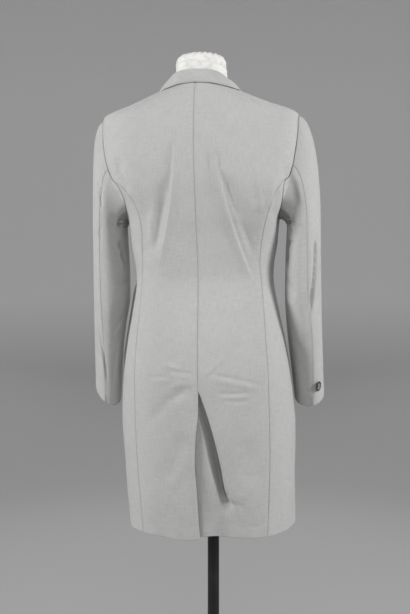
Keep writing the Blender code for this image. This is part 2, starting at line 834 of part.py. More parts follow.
def dress_form(look):
    """The limbless form: lofted rings with flat armhole plates, a flat foot and a rounded neck."""
    shape = bmesh.new()
    loops = []
    for ring in form_rings():
        loops.append([shape.verts.new(point) for point in ring])
    for low, high in zip(loops, loops[1:]):
        count = len(low)
        for i in range(count):
            j = (i + 1) % count
            shape.faces.new([low[i], low[j], high[j], high[i]])
    shape.faces.new(loops[0][::-1])
    shape.faces.new(loops[-1])
    return add_object("dress_form", shape, look, smooth_angle=60)


def button(name, place, facing, radius, look):
    """A round button with a raised rim, seated just off the cloth."""
    half = BUTTON_THICKNESS
    profile = [
        (0, 0),
        (radius * 0.72, 0),
        (radius * 0.96, half * 0.35),
        (radius, half * 0.65),
        (radius * 0.92, half),
        (radius * 0.78, half * 0.95),
        (radius * 0.62, half * 0.62),
        (0, half * 0.55),
    ]
    made = turned(name, profile, BUTTON_SIDES, look)
    direction = np.asarray(facing, float)
    made.rotation_mode = "QUATERNION"
    from_up = np.array([0.0, 0.0, 1.0])
    axis = np.cross(from_up, direction)
    size = np.linalg.norm(axis)
    turn = math.atan2(size, float(direction @ from_up))
    axis = axis / size
    made.rotation_quaternion = (
        math.cos(turn / 2),
        *(axis * math.sin(turn / 2)),
    )
    made.location = place
    return made


def stand(look):
    """The pole with its base plate and the plate's socket."""
    top = FORM_BOTTOM_Z - SEAM_GAP
    foot = BASE_HEIGHT + SEAM_GAP
    pole = [(0, foot), (POLE_RADIUS, foot), (POLE_RADIUS, top), (0, top)]
    turned("pole", pole, POLE_SIDES, look)
    clear = POLE_RADIUS + SEAM_GAP
    rim = EDGE_BEVEL
    plate = [
        (0, 0),
        (BASE_RADIUS - rim, 0),
        (BASE_RADIUS, rim),
        (BASE_RADIUS, BASE_HEIGHT - rim),
        (BASE_RADIUS - rim, BASE_HEIGHT),
        (0, BASE_HEIGHT),
    ]
    turned("base_plate", plate, BASE_SIDES, look)
    low = BASE_HEIGHT + SEAM_GAP
    high = low + SOCKET_HEIGHT
    socket = [
        (clear, low),
        (SOCKET_RADIUS, low),
        (SOCKET_RADIUS, high - rim),
        (SOCKET_RADIUS - rim, high),
        (clear, high),
    ]
    turned("pole_socket", socket, POLE_SIDES, look, closed=True)


def body_panels(cloth):
    """The six panels of the coat's body."""
    for side, word in ((1, "left"), (-1, "right")):
        points, normals, cells = back_grid(side)
        wall(f"back_{word}", points, normals, cloth, cells)
        points, normals = side_grid(side)
        wall(f"side_{word}", points, normals, cloth)
        points, normals = front_grid(side)
        wall(f"front_{word}", points, normals, cloth)


def revers_and_collar(cloth):
    """Both lapels and the turned collar."""
    for side, word in ((1, "left"), (-1, "right")):
        points = lapel_grid(side)
        normals = grid_normals(points)
        if np.dot(normals[5, 7], body_normal(1.25, side * 2.7)) < 0:
            normals = -normals
        wall(f"lapel_{word}", points, normals, cloth)
    points = collar_grid()
    normals = grid_normals(points)
    middle = len(points) // 2
    if normals[middle, -1, 1] < 0:
        normals = -normals
    wall("collar", points, normals, cloth)


def sleeves(cloth):
    """Two-piece sleeves: an upper sleeve over the shoulder and an under sleeve."""
    for side, word in ((1, "left"), (-1, "right")):
        count = 2 * ARM_STEPS + SIDE_CELLS
        last = count + BACK_SEAM_COLUMN
        points, normals = sleeve_piece(side, FRONT_SEAM_COLUMN, last)
        wall(f"upper_sleeve_{word}", points, normals, cloth)
        points, normals = sleeve_piece(side, BACK_SEAM_COLUMN, FRONT_SEAM_COLUMN)
        wall(f"under_sleeve_{word}", points, normals, cloth)


def buttons(horn):
    """Three buttons on the front and the one on the wearer's right cuff."""
    for number, z in enumerate(BUTTON_HEIGHTS, start=1):
        normal = body_normal(z, math.pi)
        lift = front_lift(-1, z, math.pi) + 2 * PIECE_GAP
        place = body_point(z, math.pi) + normal * lift
        button(f"front_button_{number}", place, normal, FRONT_BUTTON_RADIUS, horn)
    step = 0.01
    shares = [CUFF_BUTTON_SHARE - step, CUFF_BUTTON_SHARE + step]
    start, end = sleeve_ring(-1, CUFF_BUTTON_Z, shares)
    above = sleeve_ring(-1, CUFF_BUTTON_Z + step, shares)[0]
    normal = np.cross(end - start, above - start)
    normal /= np.linalg.norm(normal)
    if normal[0] > 0:
        normal = -normal
    place = (start + end) / 2 + normal * PIECE_GAP / 4
    button("cuff_button_right", place, normal, CUFF_BUTTON_RADIUS, horn)


def main():
    for old in list(bpy.data.objects):
        bpy.data.objects.remove(old)
    cloth = material("wool_cloth", (0.46, 0.46, 0.46), 0.9)
    horn = material("horn", (0.07, 0.06, 0.055), 0.4)
    cover = material("form_cover", (0.80, 0.80, 0.78), 0.85)
    steel = material("black_steel", (0.012, 0.012, 0.012), 0.45, 0.0)
    body_panels(cloth)
    revers_and_collar(cloth)
    sleeves(cloth)
    buttons(horn)
    dress_form(cover)
    stand(steel)


main()
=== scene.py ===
"""The looks of a fitted overcoat on a dress form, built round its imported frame.

Metres, +Z up. The coat's front faces -Y and the wearer's left is +X. The cloth lies on the same worn shape as
the solids do, cut finer, with its creases, rolled seams, pressed edges and weave.
"""

import logging
import math
from dataclasses import dataclass, field
from enum import Enum
from typing import Callable

import bmesh
import bpy
import numpy as np
from mathutils import Matrix, Vector


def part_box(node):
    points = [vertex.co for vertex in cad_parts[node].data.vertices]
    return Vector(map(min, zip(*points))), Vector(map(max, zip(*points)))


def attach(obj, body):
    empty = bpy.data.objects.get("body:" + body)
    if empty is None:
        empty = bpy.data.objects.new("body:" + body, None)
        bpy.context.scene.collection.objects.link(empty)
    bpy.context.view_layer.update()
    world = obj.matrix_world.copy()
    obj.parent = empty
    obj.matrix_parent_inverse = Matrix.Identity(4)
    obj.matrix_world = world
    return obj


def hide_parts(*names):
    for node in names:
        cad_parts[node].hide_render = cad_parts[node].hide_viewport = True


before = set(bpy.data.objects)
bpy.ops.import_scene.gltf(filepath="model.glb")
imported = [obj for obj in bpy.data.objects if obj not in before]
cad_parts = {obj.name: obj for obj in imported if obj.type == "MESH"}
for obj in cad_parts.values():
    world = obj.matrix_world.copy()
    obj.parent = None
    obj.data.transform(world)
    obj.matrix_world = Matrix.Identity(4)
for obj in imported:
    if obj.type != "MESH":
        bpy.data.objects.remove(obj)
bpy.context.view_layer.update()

log = logging.getLogger("overcoat")

BODY = "root"

# One number or a grid of them
Numbers = float | np.ndarray
Socket = bpy.types.NodeSocket

# A crease's line is read in this many points, and it fades over this share of its length at each end
CREASE_POINTS = 9
CREASE_FADE = 0.25

# Cloth
CLOTH = 0.0018
COLLAR_CLOTH = 0.0022
SEAM_GAP = 0.00016
SLEEVE_GAP = 0.0006
LAYER_GAP = 0.0006

# Heights of the coat
HEM_Z = 0.500
VENT_TOP_Z = 0.787
ARM_ROWS_Z = 1.115
ARMHOLE_FLOOR_Z = 1.145
PANEL_SEAM_TOP_Z = 1.225
SHOULDER_TIP_Z = 1.3625
NECK_SEAM_Z = 1.430
FRONT_TOP_Z = 1.420
BREAK_Z = 1.095
BREAK_RUN = 0.030

# The right underarm stands out more: height, degrees round from the back, their spread, rise and height spread
UNDERARM = (1.170, 61.0, 22.0, 0.025, 0.068)

# The worn form leans a little towards the wearer's left
LEAN_AT_HEM = 0.003
LEAN_SLOPE = 0.030

# Columns of the sleeve's first rings, as cut from the armhole
ARM_STEPS = 6
SIDE_CELLS = 6
BACK_SEAM_COLUMN = ARM_STEPS - 1
FRONT_SEAM_COLUMN = ARM_STEPS + SIDE_CELLS
FRONT_SEAM = 0.70

SECTIONS = """
z      side   back   front middle square
0.5    0.174  0.14   0.127 0      2.35
0.59   0.1785 0.144  0.13  0      2.35
0.72   0.1835 0.145  0.13  0      2.3
0.81   0.178  0.144  0.127 0.002  2.3
0.89   0.1675 0.132  0.121 0.002  2.25
0.945  0.1575 0.115  0.115 0.002  2.2
1.025  0.1465 0.096  0.11  0      2.2
1.094  0.156  0.099  0.122 0      2.2
1.145  0.16   0.106  0.135 0      2.2
1.17   0.168  0.1085 0.138 0      2.25
1.219  0.2    0.112  0.134 0      2.3
1.262  0.211  0.11   0.118 0      2.3
1.315  0.2125 0.104  0.1   -0.001 2.3
1.3625 0.21   0.093  0.082 -0.002 2.25
1.39   0.1475 0.083  0.074 -0.003 2.2
1.41   0.102  0.074  0.068 -0.004 2.15
1.43   0.0566 0.062  0.06  -0.006 2.1
1.5    0.0566 0.062  0.06  -0.006 2.1
"""

SEAMS = """
z     back   front
0.5   0.125  0.108
0.58  0.131  0.112
0.69  0.136  0.114
0.81  0.1365 0.112
0.9   0.132  0.106
0.99  0.1265 0.1
1.06  0.1215 0.102
1.12  0.12   0.112
1.15  0.124  0.122
1.18  0.136  0.135
1.2   0.15   0.147
1.215 0.166  0.158
1.225 0.181  0.167
"""

ARMHOLE = """
z      back   front
1.225  0.181  0.167
1.262  0.196  0.18
1.315  0.2064 0.196
1.3625 0.21   0.21
"""

# The open vent: the pocket's left and right borders right of the middle, its depth, the shelf and the free edge
VENT = """
z     left  right  depth  shelf  edge   run
0.5   0     0.05   0.0045 0.0045 0.0045 0.08
0.54  0.012 0.058  0.005  0.005  0.0062 0.06
0.556 0.026 0.063  0.0065 0.0055 0.0068 0.03
0.566 0.034 0.064  0.009  0.0055 0.007  0.016
0.576 0.036 0.056  0.018  0.0055 0.0074 0.01
0.598 0.032 0.0465 0.031  0.0055 0.008  0.006
0.638 0.021 0.04   0.036  0.0055 0.0105 0.006
0.697 0.011 0.0275 0.033  0.0055 0.0075 0.006
0.75  0     0.013  0.024  0.005  0.0012 0.006
0.775 0     0.0055 0.015  0.0045 0.0003 0.005
0.787 0     0.002  0.006  0.0035 0      0.005
"""

SLEEVE = """
z     x      y      half_x half_y slant seam
1.13  0.209  -0.006 0.0355 0.066  0     0.215
1.05  0.207  -0.007 0.0375 0.065  0     0.205
0.975 0.2065 -0.01  0.0385 0.062  0.04  0.205
0.9   0.209  -0.018 0.036  0.057  0.14  0.215
0.83  0.2135 -0.028 0.033  0.053  0.28  0.23
0.773 0.217  -0.036 0.0305 0.049  0.42  0.245
"""

COLLAR = """
along fold_x fold_y fold_z edge_x edge_y edge_z seat_x seat_y seat_z
0     0      0.0512 1.45   0      0.0622 1.424  0      0.059  1.432
0.16  0.0215 0.0467 1.45   0.0308 0.0572 1.4235 0.0232 0.0535 1.432
0.32  0.0398 0.033  1.4485 0.0558 0.0445 1.4212 0.0425 0.0375 1.432
0.48  0.051  0.0118 1.445  0.078  0.0236 1.42   0.0545 0.0135 1.432
0.6   0.0548 -0.01  1.442  0.089  -0.004 1.4215 0.0572 -0.01  1.431
"""

# All creases are in millimetres. Sides, degrees (a), shares (s) and skews are plain numbers, and a missing skew is 0.
# Large folds of the back, as bent lines (distance left of the middle, height), with half width, rise and skew
FOLDS = """
x1 z1 x2 z2 x3 z3 width rise skew
34 1335 39 1142.5 90 1030 7 4.6 -0.5
56 1235 73 1137.5 106 1050 12 -4.8
100 1190 118 1120 112 1050 14 -4.4
-38 1335 -41 1150 -113 1000 7 4.6 0.5
-61 1236 -80 1143 -116 1060 11 -3.6
-180 1262 -165 1186 -148 1110 10 -5
166 1272 153.5 1231 141 1190 10 -3.6
0 803 45.5 799.5 106 722 12 -3
27 712 48.5 661 70 610 18 -2.8
-88 710 -95.5 655 -103 600 16 -2.6
"""

# Fine creases of the back, in the same columns
BACK_CREASES = """
x1 z1 x2 z2 x3 z3 width rise skew
46 1250 48 1220 58 1180 5 -1.6
60 1190 76 1145 90 1070 6.5 -2 -0.3
23 1305 22 1280 20 1250 3.5 -1.4
29 1300 27 1275 25 1255 4 0.8
-56 1240 -68 1195 -90 1130 5.5 -2 0.3
-86 1140 -102 1105 -112 1060 6 -1.6 0.2
-31 1265 -31 1245 -33 1220 4 -1.3
-126 1250 -129 1200 -130 1140 6 2.2 0.2
-117 1240 -119 1195 -121 1150 7 -1.2
-172 1235 -159 1180 -152 1130 6 -2.6
-160 1210 -156 1180 -146 1150 4.5 1.6
170 1275 166 1255 156 1235 5 -2
155 1258 144 1225 135 1175 6.5 1.8
100 1155 99 1125 96 1090 5.5 1.4
115 1255 112 1215 108 1160 10 -1
86 1385 92 1376 100 1362 4.5 -1.6
118 1377 126 1369 136 1360 5 -1
-95 1391 -103 1384 -112 1370 5 -2.4
-108 1384 -115 1372 -121 1352 6 1.6
-140 1374 -147 1365 -156 1354 5.5 -1.8
72 847 50 837 30 833 6 1.4
60 834.5 38 829 6 829 3.4 -1.5 0.3
112 816.5 80 818 52 820 3 -1.4 -0.3
54 819 48 825 44 833 4 1
105 811 75 811 50 814 5 0.9
90 855 86 840 86 824 6 -0.5
4 805 30 808 60 798 5 0.8
20 790 45 786 66 766 6 -1
-24 826 -70 818 -130 801 3.6 -1.6 -0.3
-26 815 -80 809 -126 795 7 1.4
-4 820 -30 830 -58 865 5 1
-16 816 -35 833 -52 853 4 -0.9
-33 789 -70 785.5 -106 790.5 3.4 -1.5
-40 781.5 -75 779 -104 784 4 0.8
-52 776 -76 769 -100 776 3.4 -1
-73 915 -85 908 -104 899 8 -0.7
-60 718 -74 712 -88 700 10 -1.1
-88 668 -96 664 -108 660 10 -0.9
16 650 38 615 62 572 11 -1
63 630 72 620 80 605 8 -0.9
30 645 52 610 72 565 9 0.9
-34 579 -46 570 -62 569 3.4 -3.4
-30 593 -43 586 -60 587 3 -2.2
-42 583 -50 580 -56 578 3 1.4
-56 572 -72 565 -88 562 5 -1
-64 590 -78 585 -96 588 8 0.8
"""

# Creases of the sides and front: degrees round from the middle of the back, on one side of the wearer
ROUND_CREASES = """
side a1 z1 a2 z2 a3 z3 width rise skew
1 112 1140 122 1110 136 1085 7 1.8
-1 110 1135 124 1105 140 1090 8 -2 0.2
1 150 1055 163 1068 172 1074 6 -2.2
-1 148 1060 160 1070 172 1075 6.5 -2.4
1 146 985 160 977 170 975 6 -1.8
-1 144 990 158 980 171 976 6 -2.2
-1 152 950 162 960 172 970 5.5 1.4
1 150 868 160 872 171 875 6 -1.6
-1 146 862 158 870 170 874 6.5 -2
1 128 1010 134 1030 138 1060 8 -2
-1 126 1000 132 1025 139 1058 8 -1.8
1 96 1010 104 1000 116 1004 6 -1.8
-1 94 1018 103 1006 114 1008 6 -2
1 82 1100 90 1080 98 1040 9 -2.2
-1 80 1105 88 1085 96 1050 9 -2
1 72 700 78 640 80 560 12 -2.4
-1 66 610 72 600 80 604 8 -1.6
-1 84 720 88 660 90 580 13 -2.2
1 138 780 142 700 145 590 15 -2.6
-1 134 770 140 690 142 580 15 -2.8
1 160 740 164 660 166 570 14 2
-1 158 760 162 670 163 575 14 -2
1 116 1215 122 1180 128 1150 9 2
-1 114 1215 121 1182 127 1148 8.5 2.2
1 97 1050 96 940 93 790 16 11
1 85 1030 84 930 81 800 11 -8
"""

# Creases of the sleeves: share of the way round from the outer side by the back, and height
SLEEVE_CREASES = """
side s1 z1 s2 z2 s3 z3 width rise skew
-1 0.135 1150 0.068 1050 0.215 935 4 -9.2 0.5
-1 0.105 1140 0.046 1050 0.185 940 6 2.2
-1 0.37 1185 0.39 1120 0.39 1050 7 2.6
-1 0.33 1205 0.35 1190 0.39 1180 4 2.2
-1 0.175 1100 0.165 1050 0.19 990 7 1.6
-1 0.3 1245 0.3 1190 0.29 1150 9 -2.4
-1 0.42 1020 0.36 1000 0.3 985 6.5 -2
-1 0.44 985 0.38 970 0.31 962 6 1.4
-1 0.4 900 0.34 885 0.28 880 7 -1.4
-1 0.56 1040 0.64 1020 0.73 1030 8 -3.6
-1 0.58 990 0.65 975 0.76 985 8 -2.8
-1 0.6 940 0.68 930 0.77 945 8 -2
-1 0.88 1180 0.9 1080 0.88 980 13 -2.6
1 0.095 965 0.205 900 0.27 800 3.4 -2.6 0.3
1 0.075 955 0.185 900 0.25 800 6 1.6
1 0.35 1195 0.38 1130 0.42 1020 7 2.6
1 0.17 1225 0.2 1215 0.24 1205 3.8 -2
1 0.2 1212 0.22 1190 0.24 1165 4.2 -2
1 0.15 1205 0.18 1200 0.22 1185 4 1.2
1 0.46 1115 0.4 1100 0.35 1110 6 -2.8
1 0.47 1075 0.41 1062 0.34 1070 6.5 -2.4
1 0.48 1020 0.42 1005 0.35 1010 6 -2.2
1 0.44 945 0.38 930 0.3 905 5 -2.4
1 0.43 925 0.37 915 0.3 910 5 1.4
1 0.36 880 0.34 850 0.33 820 7 -1.8
1 0.57 1035 0.65 1015 0.74 1028 8 -3.4
1 0.59 980 0.67 968 0.76 980 8 -2.6
1 0.87 1170 0.89 1070 0.87 970 13 -2.4
1 0.4 1165 0.425 1100 0.48 1030 13 -6 -0.4
-1 0.4 1165 0.425 1100 0.46 1030 13 -6 -0.4
"""

# Each piece as it was cut flat, with its seam and hem allowances
CUTS = """
piece              width length area
back_left          0.215 1.01   0.16
back_right         0.24  1.01   0.185
side_left          0.25  0.79   0.155
side_right         0.25  0.79   0.155
front_left         0.24  1      0.15
front_right        0.24  1      0.15
lapel_left         0.12  0.29   0.0155
lapel_right        0.12  0.29   0.0155
collar             0.42  0.12   0.03
upper_sleeve_left  0.22  0.66   0.1
upper_sleeve_right 0.22  0.66   0.1
under_sleeve_left  0.16  0.48   0.07
under_sleeve_right 0.16  0.48   0.07
"""


def steady_slopes(keys: np.ndarray, column: np.ndarray) -> np.ndarray:
    """Slopes for a smooth curve that doesn't swing past its rows.

    Args:
        keys: The places of the rows.
        column: The value in each row.

    Returns:
        One slope for each row.
    """
    steps = np.diff(column) / np.diff(keys)
    before, after = steps[:-1], steps[1:]
    turns = before * after <= 0
    total = np.where(turns, 1.0, before + after)
    middle = np.where(turns, 0.0, 2 * before * after / total)
    return np.concatenate([steps[:1], middle, steps[-1:]])


def hermite(t: Numbers, start: Numbers, leave: Numbers, end: Numbers, arrive: Numbers) -> np.ndarray:
    """A curve from start to end with the given directions at its ends.

    Args:
        t: Shares of the way.
        start: Where it starts.
        leave: Its direction there.
        end: Where it ends.
        arrive: Its direction there.

    Returns:
        The curve's value at each share.
    """
    return (
        start * (2 * t**3 - 3 * t**2 + 1)
        + leave * (t**3 - 2 * t**2 + t)
        + end * (3 * t**2 - 2 * t**3)
        + arrive * (t**3 - t**2)
    )


def ease(t: Numbers) -> np.ndarray:
    """Runs smoothly from 0 to 1."""
    t = np.clip(t, 0.0, 1.0)
    return t * t * (3 - 2 * t)


def read_rows(text: str) -> tuple[list[str], list[list[str]]]:
    """Splits a table into its column names and its rows."""
    rows = [line.split() for line in text.split("\n") if line.strip()]
    return rows[0], rows[1:]


class Table:
    """Named columns of numbers, each read along the first column on a smooth curve through its rows."""

    def __init__(self, text: str) -> None:
        """Reads the rows and works out their slopes.

        Args:
            text: A line of names, then a line for each row.
        """
        names, rows = read_rows(text)
        numbers = np.array(sorted([float(item) for item in row] for row in rows))
        self.keys = numbers[:, 0]
        self.columns = dict(zip(names[1:], numbers[:, 1:].T))
        self.slopes = {name: steady_slopes(self.keys, c) for name, c in self.columns.items()}

    def at(self, value: Numbers, name: str) -> np.ndarray:
        """Reads a column.

        Args:
            value: Places along the first column.
            name: The column to read.

        Returns:
            The column's value at each place.
        """
        keys, column, slopes = self.keys, self.columns[name], self.slopes[name]
        value = np.clip(np.asarray(value, float), keys[0], keys[-1])
        i = np.clip(np.searchsorted(keys, value, side="right") - 1, 0, len(keys) - 2)
        width = keys[i + 1] - keys[i]
        t = (value - keys[i]) / width
        return hermite(t, column[i], slopes[i] * width, column[i + 1], slopes[i + 1] * width)


@dataclass(frozen=True)
class Crease:
    """A soft trough or ridge along a bent line.

    Attributes:
        path: Its start, bend and end, across and up the cloth.
        width: Half its width, in metres.
        rise: How far it stands up, or down where it is negative.
        skew: How much wider its left slope is than its right one, seen along the line.
    """

    path: tuple[tuple[float, float], ...]
    width: float
    rise: float
    skew: float = 0.0

    def relief(self, across: np.ndarray, up: np.ndarray) -> np.ndarray:
        """How far the crease moves each point out.

        Args:
            across: Each point's place across the cloth, in metres.
            up: Each point's place up the cloth, in metres.

        Returns:
            The height of the crease at each point.
        """
        steps = np.linspace(0, 1, CREASE_POINTS)[:, None]
        start, bend, end = (np.array(p) for p in self.path)
        line = start * (1 - steps) ** 2 + bend * 2 * steps * (1 - steps) + end * steps**2
        runs = np.diff(line, axis=0)
        lengths = np.linalg.norm(runs, axis=1)
        before = np.concatenate([[0.0], np.cumsum(lengths)])
        nearest = np.full(np.shape(across), np.inf)
        signed = np.zeros(np.shape(across))
        along = np.zeros(np.shape(across))
        for k, run in enumerate(runs):
            from_x, from_y = across - line[k, 0], up - line[k, 1]
            share = np.clip((from_x * run[0] + from_y * run[1]) / lengths[k] ** 2, 0, 1)
            off = np.hypot(from_x - share * run[0], from_y - share * run[1])
            closer = off < nearest
            side = np.sign(run[0] * from_y - run[1] * from_x)
            nearest = np.where(closer, off, nearest)
            signed = np.where(closer, side, signed)
            along = np.where(closer, before[k] + share * lengths[k], along)
        along = along / before[-1]
        width = self.width * (1 + self.skew * signed)
        ends = ease(along / CREASE_FADE) * ease((1 - along) / CREASE_FADE)
        return self.rise * np.exp(-((nearest / width) ** 2)) * ends


def read_creases(text: str, side: int = 0, scale: float = 1.0) -> list[Crease]:
    """Reads a table of creases.

    Columns whose names start with a or s are plain numbers, and the others are millimetres.

    Args:
        text: The table.
        side: Takes the rows of this side alone, where the table names sides.
        scale: Turns the places across the cloth into metres.

    Returns:
        The creases, in the table's order.
    """
    names, rows = read_rows(text)
    found = []
    for row in rows:
        numbers = [float(item if name[0] in "as" else item + "e-3") for name, item in zip(names, row)]
        if names[0] == "side":
            if numbers[0] != side:
                continue
            numbers = numbers[1:]
        path = tuple((numbers[k] * scale, numbers[k + 1]) for k in (0, 2, 4))
        found.append(Crease(path, *numbers[6:9]))
    return found


def relief_of(creases: list[Crease], across: np.ndarray, up: np.ndarray) -> np.ndarray:
    """The height of all the creases together at each point."""
    total = np.zeros(np.shape(across))
    for crease in creases:
        total += crease.relief(across, up)
    return total


class WornShape:
    """The outer shape of the worn coat's body, as level sections that lean a little."""

    def __init__(self) -> None:
        """Reads the sections and seams."""
        self.sections = Table(SECTIONS)
        self.seams = Table(SEAMS)
        self.armhole = Table(ARMHOLE)
        self.folds = read_creases(FOLDS)
        self.seam_rows = np.linspace(HEM_Z, SHOULDER_TIP_Z, 700)
        self.seam_lines = [self.trace_seam(self.seam_rows, front) for front in (False, True)]

    def lean(self, z: Numbers) -> np.ndarray:
        """How far the form is shifted towards +X at this height."""
        return LEAN_AT_HEM + LEAN_SLOPE * (np.asarray(z) - HEM_Z)

    def point(self, z: Numbers, angle: Numbers, folded: bool = True) -> np.ndarray:
        """Points of the worn shape.

        Args:
            z: Heights.
            angle: Turns from the middle of the back, growing towards +X.
            folded: Whether the large folds are in it.

        Returns:
            One point for each height and turn.
        """
        z, angle = np.broadcast_arrays(np.asarray(z, float), np.asarray(angle, float))
        side = self.sections.at(z, "side")
        behind = np.cos(angle) > 0
        depth = np.where(behind, self.sections.at(z, "back"), self.sections.at(z, "front"))
        square = self.sections.at(z, "square")
        across = np.abs(np.sin(angle)) / side
        along = np.abs(np.cos(angle)) / depth
        radius = (across**square + along**square) ** (-1 / square)
        if folded:
            relief = relief_of(self.folds, radius * np.sin(angle), z)
            radius = radius + np.where(behind, relief, 0.0)
        height, turn, spread, rise, tall = UNDERARM
        flank = np.exp(-(((np.degrees(angle) + turn) / spread) ** 2))
        radius = radius + rise * flank * np.exp(-(((z - height) / tall) ** 2))
        x = radius * np.sin(angle) + self.lean(z)
        y = radius * np.cos(angle) + self.sections.at(z, "middle")
        return np.stack([x, y, z], axis=-1)

    def normal(self, z: Numbers, angle: Numbers, folded: bool = True) -> np.ndarray:
        """The outward directions of the worn shape.

        Args:
            z: Heights.
            angle: Turns from the middle of the back.
            folded: Whether the large folds are in it.

        Returns:
            One unit vector for each height and turn.
        """
        turn, step = 1e-4, 1e-3
        z = np.asarray(z, float)
        round_it = self.point(z, angle + turn, folded) - self.point(z, angle - turn, folded)
        low = np.maximum(z - step, HEM_Z)
        high = np.minimum(z + step, self.sections.keys[-1])
        rise = self.point(high, angle, folded) - self.point(low, angle, folded)
        normal = np.cross(rise, round_it)
        return normal / np.linalg.norm(normal, axis=-1, keepdims=True)

    def angle_at(self, z: Numbers, x: Numbers, front: bool = False) -> np.ndarray:
        """The turns at which the sections are this far from the middle line.

        Args:
            z: Heights of the sections.
            x: Distances from the middle line.
            front: Whether to look on the front half.

        Returns:
            One turn for each height and distance.
        """
        z, x = np.broadcast_arrays(np.asarray(z, float), np.asarray(x, float))
        low, high = np.zeros(z.shape), np.full(z.shape, math.pi / 2)
        for _ in range(24):
            half = (low + high) / 2
            angle = math.pi - half if front else half
            short = self.point(z, angle)[..., 0] - self.lean(z) < x
            low = np.where(short, half, low)
            high = np.where(short, high, half)
        return math.pi - low if front else low

    def trace_seam(self, z: np.ndarray, front: bool) -> np.ndarray:
        """Turns at which the panel seam or the armhole lies at these heights."""
        side = "front" if front else "back"
        low, high = self.seams.at(z, side), self.armhole.at(z, side)
        return self.angle_at(z, np.where(z < PANEL_SEAM_TOP_Z, low, high), front)

    def seam_angle(self, z: Numbers, front: bool = False) -> np.ndarray:
        """Where the panel seam, the armhole or the shoulder seam ends a panel at this height."""
        traced = np.interp(z, self.seam_rows, self.seam_lines[front])
        return np.where(np.asarray(z) >= SHOULDER_TIP_Z, math.pi / 2, traced)


WORN = WornShape()


def smoothed(points: np.ndarray, places: np.ndarray, axis: int, closed: bool = False) -> np.ndarray:
    """Reads a grid of points at finer places along one axis, on smooth curves through its points.

    Args:
        points: The coarse grid.
        places: Where to read it, counted in its own rows or columns.
        axis: The axis to read along.
        closed: Whether the last point is followed by the first.

    Returns:
        The grid with one row or column for each place.
    """
    points = np.moveaxis(points, axis, 0)
    count = len(points)
    i = np.floor(places).astype(int)
    if closed:
        around = [(i + k) % count for k in (-1, 0, 1, 2)]
    else:
        i = np.clip(i, 0, count - 2)
        around = [np.clip(i + k, 0, count - 1) for k in (-1, 0, 1, 2)]
    t = (places - i).reshape([-1] + [1] * (points.ndim - 1))
    before, start, end, after = (points[k] for k in around)
    leave, arrive = (end - before) / 2, (after - start) / 2
    if not closed:
        first, last = (i == 0).reshape(t.shape), (i == count - 2).reshape(t.shape)
        leave = np.where(first, end - start, leave)
        arrive = np.where(last, end - start, arrive)
    return np.moveaxis(hermite(t, start, leave, end, arrive), 0, axis)


def run_along(points: np.ndarray, axis: int) -> np.ndarray:
    """The distance run along an axis of a grid up to each of its points."""
    steps = np.linalg.norm(np.diff(points, axis=axis), axis=-1)
    start = np.zeros_like(np.take(steps, [0], axis=axis))
    return np.concatenate([start, np.cumsum(steps, axis=axis)], axis=axis)


def grid_normals(points: np.ndarray, outward: Callable[[np.ndarray], np.ndarray] | None = None) -> np.ndarray:
    """Normals of a grid of points.

    Args:
        points: The grid.
        outward: Gives a rough outward direction, which the normals are turned to agree with.

    Returns:
        One unit vector for each point.
    """
    down = np.gradient(points, axis=0)
    across = np.gradient(points, axis=1)
    normals = np.cross(across, down)
    normals /= np.linalg.norm(normals, axis=2, keepdims=True) + 1e-12
    if outward is not None:
        agree = (normals * outward(points)).sum(axis=2).mean()
        normals = normals if agree > 0 else -normals
    return normals


# Distances from a rolled edge at which the cloth gets a row or column of its own
EDGE_STEPS = np.array([0.0, 0.0002, 0.0006, 0.0011, 0.0018, 0.0028, 0.0042])


def edge_places(length: float, count: int) -> np.ndarray:
    """Places along a line: close together beside both ends, and even between.

    Args:
        length: The line's length, in metres.
        count: The number of even cells.

    Returns:
        Distances from the line's start.
    """
    steps = EDGE_STEPS * min(1.0, length / (4 * EDGE_STEPS[-1]))
    middle = np.linspace(steps[-1], length - steps[-1], count + 1)[1:-1]
    return np.concatenate([steps, middle, length - steps[::-1]])


def seam_roll(distance: Numbers, depth: float = 0.0007, radius: float = 0.0016) -> np.ndarray:
    """How far a sewn edge rolls in at this distance from the seam."""
    t = np.clip(1 - np.asarray(distance) / radius, 0, 1)
    return depth * (1 - np.sqrt(1 - t * t))


def spread_row(curve: Callable[[np.ndarray], np.ndarray], count: int) -> tuple[np.ndarray, np.ndarray, float]:
    """Spreads a row's columns by distance along the cloth.

    Args:
        curve: Gives a point for each share of the row.
        count: The number of even cells.

    Returns:
        The shares, their distances from the row's start, and the row's length.
    """
    samples = np.linspace(0, 1, 90)
    run = run_along(curve(samples)[None], 1)[0]
    places = edge_places(run[-1], count)
    return np.interp(places, run, samples), places, float(run[-1])


class Slot(Enum):
    """The record's material slots."""

    CLOTH = "coat_cloth"
    HORN = "button_horn"
    COVER = "form_cover"
    PAINT = "stand_paint"


def linear(colour: str) -> tuple[float, float, float, float]:
    """Turns an sRGB hex colour into linear light.

    Args:
        colour: Six hex digits after a hash.

    Returns:
        Red, green, blue and a full alpha.
    """
    parts = [int(colour[k : k + 2], 16) / 255 for k in (1, 3, 5)]
    light = [c / 12.92 if c <= 0.04045 else ((c + 0.055) / 1.055) ** 2.4 for c in parts]
    return (*light, 1.0)


def set_inputs(tree: bpy.types.NodeTree, node: bpy.types.Node, links: dict) -> None:
    """Joins sockets to a node's inputs, or sets their values.

    Args:
        tree: The node's tree.
        node: The node.
        links: Sockets or values, by the input's name or number.
    """
    for name, value in links.items():
        if isinstance(value, Socket):
            tree.links.new(value, node.inputs[name])
        else:
            node.inputs[name].default_value = value


